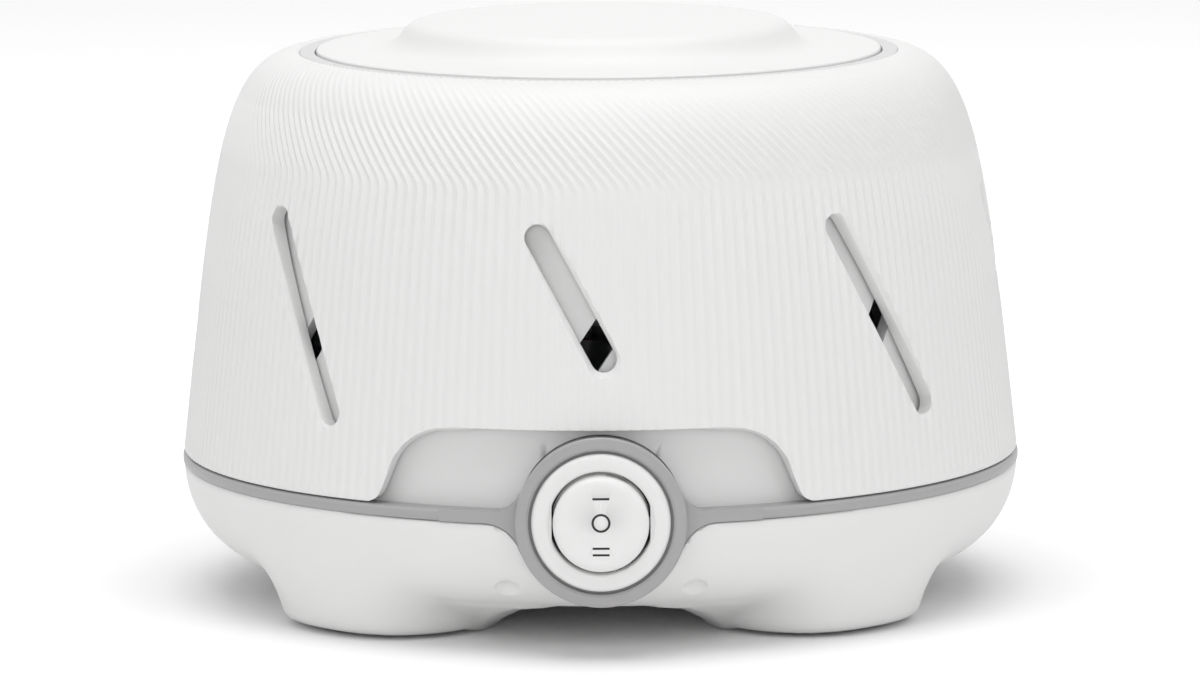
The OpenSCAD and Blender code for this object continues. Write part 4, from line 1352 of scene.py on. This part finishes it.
    def dimples(self) -> Solid:
        """Balls that sink the eight shallow dimples.

        Returns:
            All balls as one.
        """
        balls, spot = [], Matrix.Translation((self.dimple_at[0], 0, self.dimple_at[1]))
        for gap in range(0, 360, 90):
            for side in (-self.dimple_angle, self.dimple_angle):
                bm = bmesh.new()
                bmesh.ops.create_uvsphere(bm, u_segments=48, v_segments=32, radius=self.dimple_ball)
                balls.append(Solid.from_bmesh(bm).placed(about_z(gap + side) @ spot))
        return Solid.merged(balls)

    def build(self) -> Solid:
        """The base shell with the CAD's posts and bosses inside.

        Returns:
            The shell.
        """
        plug = Solid.cylinder(60.0, 12.0, 42.0, 72)
        shell = (self.skin() + plug).lined(self.core(), "base_housing")
        return shell - self.cutters() - self.web_seat() - self.dimples()

    def feet(self) -> Solid:
        """Four ringed pads with round edges.

        Returns:
            All pads as one.
        """
        outline = [(0, 0.35), (4.2, 0.35), (4.6, 0.0), (7.2, 0.0), (7.6, 0.35), (8.4, 0.35), (8.8, 0.0),
                   (11.3, 0.0), *arc((11.4, 0.6), 0.6, -90, 0, 5), (12.0, 1.8), (0, 1.8)]
        return at_quarters(lambda: Solid.spun(outline, 96), self.lobe_r)

    def dress(self) -> None:
        """Publishes the shell and its feet."""
        publish(self.build(), "lobed_base", Body.BASE, SHELL, ["base_housing"], 34.0)
        publish(self.feet(), "foot_pads", Body.BASE, FOOT, ["rubber_feet"])


@dataclass
class Trim:
    """The grey band with the bezel of the switch."""

    web: Web = field(default_factory=Web)
    bezel_y: float = 73.9
    recess_r: float = 12.1
    recess: float = 1.4
    lip: float = 0.7
    proud: float = 0.015
    inset: float = 0.02
    web_depth: float = 71.85
    skirt: tuple[Point, Point] = ((65.3, 26.9), (66.9, 21.05))
    tongue_r: float = 70.0
    boss_r: float = 4.4
    back_gap: tuple[Place, Place] = ((-16.3, 50.1, 0), (16.3, 80.1, BAND_LOW))

    def webs(self) -> Solid:
        """The widened front, set a little proud of the band and sunk into the base's seat.

        Returns:
            The rounded front.
        """
        r, deep, low = self.web.band_r + self.proud, self.web_depth, BAND_LOW + self.inset
        back = self.tongue_r - 0.05
        section = [(deep, 8.0), (r, 8.0), (r, 40.0), (back, 40.0), (back, low), (deep, low)]
        outline = self.web.outline(self.inset, 0.0, self.web.stub_x)
        return self.web.front(outline, section).rounded(self.lip, 5, 50)

    def band(self) -> Solid:
        """The band with its tongue and its inner skirt.

        Returns:
            The band.
        """
        r, lip, low, high, tongue_r = self.web.band_r, self.lip, BAND_LOW, BAND_HIGH, self.tongue_r
        (inner_r, skirt_h), (outer_r, tongue_h) = self.skirt
        return Solid.spun([
            (inner_r, low), (outer_r, low), (outer_r, tongue_h), (tongue_r, tongue_h), (tongue_r, low),
            *arc((r - lip, low + lip), lip, -90, 0, 5), *arc((r - lip, high - lip), lip, 0, 90, 5),
            (outer_r, high), (outer_r, skirt_h), (inner_r, skirt_h),
        ], 368)

    def build(self) -> Solid:
        """Band, webs and bezel as one solid.

        Returns:
            The finished band.
        """
        face, floor, edge = self.bezel_y, self.bezel_y - self.recess, 0.45
        rim_r, inner_r = self.web.bezel_r, self.web.bezel_r - 0.5
        rim = Solid.spun([
            (0, 62.1), (inner_r, 62.1), (inner_r, 73.15), (rim_r, 73.15), (rim_r, face - edge),
            *arc((rim_r - edge, face - edge), edge, 0, 90, 5), (12.5, face), (self.recess_r, face - 0.35),
            (self.recess_r, floor), (0, floor),
        ], 192).forward(SWITCH_H)
        bore = Solid.cylinder(10.35, 56.0, 76.0, 96).forward(SWITCH_H)
        room = Solid.cylinder(self.recess_r, floor, 76.0, 192).forward(SWITCH_H)
        bosses = at_quarters(lambda: Solid.cylinder(self.boss_r, 15, 40, 48), SCREW_R)
        ring = self.band() + self.webs() + rim
        return ring - room - bore - bosses - Solid.block(*self.back_gap)

    def dress(self) -> None:
        """Publishes the band."""
        publish(self.build(), "bezel_band", Body.BASE, TRIM, ["trim_ring"], 32.0)


@dataclass
class Dial:
    """The white disc with its wide knob."""

    disc_r: float = 49.12
    disc_h: float = 95.05
    under_h: float = 92.85
    edge: float = 0.4
    plug: Point = (41.5, 84.0)
    curves: tuple[Bow, ...] = (
        Bow(((42, 95.05), (36.5, 95.05), (35.4, 96.12), (33.8, 98.15))),
        Bow(((33.8, 98.15), (33, 99.22), (32.1, 99.75), (30.4, 99.9))),
        Bow(((30.4, 99.9), (20.28, 100.34), (10.14, 100.45), (0, 100.45))),
    )

    def build(self) -> Solid:
        """The dial, with the CAD's stem and ribs under it.

        Returns:
            The dial.
        """
        top = [p for curve, n in zip(self.curves, (16, 10, 14)) for p in curve.points(n)[1:]]
        r, low, edge, (plug_r, plug_h) = self.disc_r, self.under_h, self.edge, self.plug
        skin = Solid.spun([
            (0, plug_h), (plug_r, plug_h), (plug_r, low), (r - 0.2, low), (r, low + 0.2),
            *arc((r - edge, self.disc_h - edge), edge, 0, 90, 5), self.curves[0].knots[0], *top,
        ], 288)
        core = Solid.spun([
            (0, 80.0), (44, 80.0), (44, low + 0.4), (36.2, 94.0), (34.0, 94.8), (32.0, 97.6),
            (30.0, 98.9), (20, 99.4), (0, 99.6),
        ], 96)
        return skin.lined(core, "top_dial")

    def dress(self) -> None:
        """Publishes the dial."""
        publish(self.build(), "knob_disc", Body.DIAL, SHELL, ["top_dial"], 34.0)


@dataclass
class Switch:
    """The round power switch: a rim and barrel, and the rocker in it."""

    rim_r: float = 11.6
    rim_y: float = 74.4
    rim_edge: float = 1.1
    hole_r: float = 8.65
    hole_edge: float = 0.42
    flat_x: float = 8.2
    rocker_r: float = 8.0
    rocker_edge: float = 1.35
    pivot_y: float = 72.4
    marks: Marks = Marks()

    def rim(self) -> Solid:
        """The rim with its soft face, open in the middle, with the CAD's barrel behind it.

        Returns:
            The rim.
        """
        r, face, edge, round_in = self.rim_r, self.rim_y, self.rim_edge, self.hole_edge
        front = Solid.spun([
            (0, 60.0), (9.9, 60.0), (9.9, 72.5), (r, 72.5), (r, face - edge),
            *arc((r - edge, face - edge), edge, 12, 90, 6), (9.2, face),
            *arc((self.hole_r + round_in, face - round_in), round_in, 90, 180, 4), (self.hole_r, face - 2),
            (0, face - 2),
        ], 192).forward(SWITCH_H)
        inner = Solid.cylinder(9.7, 50.0, face - 1.95, 96).forward(SWITCH_H)
        back, fore, half = -face + 3, -face + 0.1, 6
        flats = [
            Solid.block((low, fore, SWITCH_H - half), (high, back, SWITCH_H + half))
            for low, high in ((-9.0, -self.flat_x), (self.flat_x, 9.0))
        ]
        return (front + Solid.merged(flats)).lined(inner, "switch_body")

    def rocker(self) -> Solid:
        """The rocker: a round button with a broad soft edge, sunk marks and the CAD's trunnions.

        Returns:
            The rocker.
        """
        r, face, edge, back = self.rocker_r, self.marks.face, self.rocker_edge, self.pivot_y - 1
        button = Solid.spun([
            (0, back), (r, back), *arc((r - edge, face - edge), edge, 0, 90, 12), (r - edge - 0.2, face),
            (0, face),
        ], 192).forward(SWITCH_H)
        plug = Solid.cylinder(9.4, 52, back, 96).forward(SWITCH_H)
        core = Solid.cylinder(9.6, 50, self.pivot_y + 0.6, 96).forward(SWITCH_H)
        return (button + plug).lined(core, "switch_rocker") - self.sunk_marks()

    def sunk_marks(self) -> Solid:
        """Cutters of the marks.

        Returns:
            All cutters as one.
        """
        marks = self.marks
        low, high = marks.face - marks.depth, marks.face + 1
        (long, wide), (inner, outer) = marks.bar, marks.ring
        section = [(inner, low), (outer, low), (outer, high), (inner, high)]
        ring = Solid.spun(section, 64).forward(marks.height)
        bars = [
            Solid.block((-long, -high, marks.height + z - wide), (long, -low, marks.height + z + wide))
            for z in marks.bars
        ]
        return Solid.merged([ring, *bars])

    def dress(self) -> None:
        """Publishes rim and rocker."""
        publish(self.rim(), "switch_rim", Body.BASE, SWITCH, ["switch_body"], 34.0)
        publish(self.rocker(), "rocker_button", Body.ROCKER, ROCKER, ["switch_rocker"], 34.0)


@dataclass
class Inlet:
    """The two-pin mains inlet in its pocket at the back."""

    height: float = 15.1
    half: Point = (13.0, 5.5)
    face_y: float = 66.0
    plate: float = 1.4
    body: Place = (11.6, 50.1, 5.0)
    pitch: float = 8.6
    socket_r: float = 4.1
    waist: float = 0.6
    floor_y: float = 53.1
    pin_r: float = 1.2

    def socket(self) -> Solid:
        """Cutter of the socket: two rounds side by side with a slight waist, opening at the face.

        Returns:
            The cutter.
        """
        half, waist_x = self.pitch / 2, 1.2
        rings = []
        for y, grow in ((self.floor_y, 0.0), (self.face_y - 0.5, 0.0), (self.face_y + 0.6, 1.1)):
            r = self.socket_r + grow
            under = [(x, self.waist - r) for x in (-waist_x, 0.0, waist_x)]
            over = [(x, r - self.waist) for x in (waist_x, 0.0, -waist_x)]
            ring = [*arc((-half, 0), r, 60, 300, 20), *under, *arc((half, 0), r, -120, 120, 20), *over]
            rings.append([Vector((x, y, self.height + z)) for x, z in ring])
        return Solid.loft(rings)

    def build(self) -> Solid:
        """Face plate with round edges, body, and the socket sunk to its floor.

        Returns:
            The inlet.
        """
        (half_x, half_z), back, mid = self.half, self.face_y - self.plate, self.height
        plate = Solid.block((-half_x, back, mid - half_z), (half_x, self.face_y, mid + half_z)).rounded(0.5)
        body_x, body_y, body_z = self.body
        body = Solid.block((-body_x, body_y, mid - body_z), (body_x, back + 0.4, mid + body_z))
        pins = []
        for x in (-self.pitch / 2, self.pitch / 2):
            lay = Matrix.Translation((x, 0, mid)) @ Matrix.Rotation(-math.pi / 2, 4, "X")
            pins.append(Solid.cylinder(self.pin_r, 46, 56, 40).placed(lay))
        return (plate + body) - self.socket() - Solid.merged(pins)

    def dress(self) -> None:
        """Publishes the inlet."""
        publish(self.build(), "mains_socket", Body.BASE, INLET, ["power_inlet"], 34.0)


@dataclass
class Winding:
    """The motor's coil: layers of enamelled wire round the bobbin."""

    low: Place = (-12.95, 23.05, 12.8)
    high: Place = (12.95, 42.45, 38.2)
    hole: Point = (5.75, 8.75)
    corner_r: float = 3.2
    wire: float = 0.7
    turns: int = 37

    def build(self) -> Solid:
        """Turns side by side, each a round loop on the outside, over the bobbin's core.

        Returns:
            The coil.
        """
        (x0, y0, z0), (x1, y1, z1), r = self.low, self.high, self.corner_r
        mid_y, mid_z, half_y, half_z = (y0 + y1) / 2, (z0 + z1) / 2, (y1 - y0) / 2, (z1 - z0) / 2
        rings = []
        for i in range(4 * self.turns + 1):
            x = x0 + i * (x1 - x0) / (4 * self.turns)
            inset = self.wire / 2 * (1 - abs(math.sin(math.pi * i / 4)))
            ring = []
            for side, up, start in ((1, 1, 0), (-1, 1, 90), (-1, -1, 180), (1, -1, 270)):
                centre = (mid_y + side * (half_y - r), mid_z + up * (half_z - r))
                ring += arc(centre, r - inset, start, start + 90, 4)
            rings.append([Vector((x, y, z)) for y, z in ring])
        wide, tall = self.hole
        bobbin = Solid.block((-20, mid_y - wide, mid_z - tall), (20, mid_y + wide, mid_z + tall))
        return Solid.loft(rings) - bobbin

    def dress(self) -> None:
        """Publishes the coil."""
        publish(self.build(), "wire_coil", Body.BASE, COPPER, ["coil_winding"])


@dataclass(frozen=True)
class SoftBox:
    """A square lamp that faces the object's middle.

    Args:
        name: its name.
        place: where it stands, in metres.
        size: length of its side.
        power: its watts.
        glare: whether glossy surfaces mirror it.
    """

    name: str
    place: Place
    size: float
    power: float
    glare: bool = True

    def hang(self) -> None:
        """Puts the lamp in the scene."""
        data = bpy.data.lights.new(self.name, "AREA")
        data.shape, data.size, data.energy = "SQUARE", self.size, self.power
        box = linked(self.name, data)
        box.location, box.visible_glossy = self.place, self.glare
        box.rotation_euler = (Vector((0, 0, 0.05)) - Vector(self.place)).to_track_quat("-Z", "Y").to_euler()


@dataclass
class Studio:
    """Pale floor, soft light from all round and above, and the camera of the photograph."""

    camera_place: Place = (0.0, -1.281, 0.22819)
    pitch: float = 8.19
    roll: float = -0.3
    lens: float = 221.67
    world: float = 0.52
    floor: float = 0.94
    lift: float = 0.17
    # distances from the middle, in metres, over which the floor's glow fades in; nearer the machine the floor
    # is darker: painted shade
    painted_shade_fade: Point = (0.072, 0.15)
    lamps: tuple[SoftBox, ...] = (
        SoftBox("above", (0.0, -0.1, 1.5), 1.4, 14.8),
        SoftBox("left", (-1.25, -1.0, 0.9), 0.9, 2.4),
        SoftBox("right", (1.25, -1.0, 0.9), 0.9, 2.6),
        SoftBox("front", (0.0, -2.2, 0.15), 1.2, 8.0, glare=False),
    )

    def camera(self) -> None:
        """Sets the camera where the fitted one stands."""
        data = bpy.data.cameras.new("view")
        data.lens, data.sensor_width = self.lens, 36.0
        data.clip_start, data.clip_end = 0.05, 50.0
        eye = linked("view", data)
        turn = Matrix.Rotation(math.radians(90 - self.pitch), 4, "X") @ about_z(self.roll)
        eye.matrix_world = Matrix.Translation(self.camera_place) @ turn
        bpy.context.scene.camera = eye

    def backdrop(self) -> None:
        """World light that a camera, gloss or clear ray sees as white."""
        world = bpy.data.worlds.new("studio")
        bpy.context.scene.world = world
        world.use_nodes = True
        tree = world.node_tree
        tree.nodes.clear()
        path = tree.nodes.new("ShaderNodeLightPath")
        seen = path.outputs["Is Camera Ray"]
        for kind in ("Is Glossy Ray", "Is Transmission Ray"):
            either = tree.nodes.new("ShaderNodeMath")
            either.operation = "MAXIMUM"
            tree.links.new(seen, either.inputs[0])
            tree.links.new(path.outputs[kind], either.inputs[1])
            seen = either.outputs[0]
        light, white = tree.nodes.new("ShaderNodeBackground"), tree.nodes.new("ShaderNodeBackground")
        light.inputs["Strength"].default_value, white.inputs["Strength"].default_value = self.world, 1.0
        for one in (light, white):
            one.inputs["Color"].default_value = (1, 1, 1, 1)
        mix, out = tree.nodes.new("ShaderNodeMixShader"), tree.nodes.new("ShaderNodeOutputWorld")
        tree.links.new(seen, mix.inputs[0])
        tree.links.new(light.outputs[0], mix.inputs[1])
        tree.links.new(white.outputs[0], mix.inputs[2])
        tree.links.new(mix.outputs[0], out.inputs[0])

    def ground(self) -> None:
        """A wide pale floor that keeps the shadow."""
        bm = bmesh.new()
        bmesh.ops.create_grid(bm, x_segments=1, y_segments=1, size=6.0)
        mesh = settled(bm, "floor")
        mesh.materials.append(self.pale_floor())
        linked("floor", mesh)

    def pale_floor(self) -> bpy.types.Material:
        """The floor's material.

        To camera and gloss rays it gives off a little white. The white fades out towards the machine, so the
        floor under and round the machine is darker: painted shade over its real shadow.

        Returns:
            The material.
        """
        recipe = Recipe("pale_floor")
        place = recipe.place()
        tone = recipe.tint(recipe.grain(3.0, place), (self.floor,) * 3, (self.floor + 0.01,) * 3)
        made = recipe.finish(Base_Color=tone, Roughness=0.9, Specular_IOR_Level=0.1)
        camera = recipe.node("ShaderNodeLightPath", output="Is Camera Ray")
        gloss = recipe.node("ShaderNodeLightPath", output="Is Glossy Ray")
        away = recipe.node("ShaderNodeVectorMath", {"operation": "LENGTH"}, {0: place}, 1)
        # no glow near the machine's middle, fading in further out: painted shade on the floor round the
        # machine
        clear_of_painted_shade = recipe.ramp(away, (self.painted_shade_fade[0], 0.0), (self.painted_shade_fade[1], 1.0))
        glow = recipe.node("ShaderNodeEmission", inputs={"Strength": camera.either(gloss) * clear_of_painted_shade * self.lift})
        both = recipe.node("ShaderNodeAddShader", inputs={0: Wire(recipe, recipe.shader.outputs[0]), 1: glow})
        recipe.tree.links.new(both.socket, recipe.output.inputs["Surface"])
        return made

    def build(self) -> None:
        """Sets up the whole studio."""
        bpy.context.scene.view_settings.view_transform = "Standard"
        self.camera()
        self.backdrop()
        self.ground()
        for lamp in self.lamps:
            lamp.hang()


def dress_kept_nodes() -> None:
    """Gives each CAD node that stays its finish."""
    for finish, nodes in KEPT_NODES.items():
        for node in nodes:
            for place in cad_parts[node].material_slots:
                place.material = finish.material()
            log.info("%s: kept, in %s", node, finish.slot)


def main() -> None:
    """Builds every piece and the studio."""
    logging.basicConfig(level=logging.INFO, format="%(message)s")
    Studio().build()
    for assembly in (Collar(), Housing(), Base(), Trim(), Dial(), Switch(), Inlet(), Winding()):
        assembly.dress()
    dress_kept_nodes()


if __name__ == "__main__":
    main()
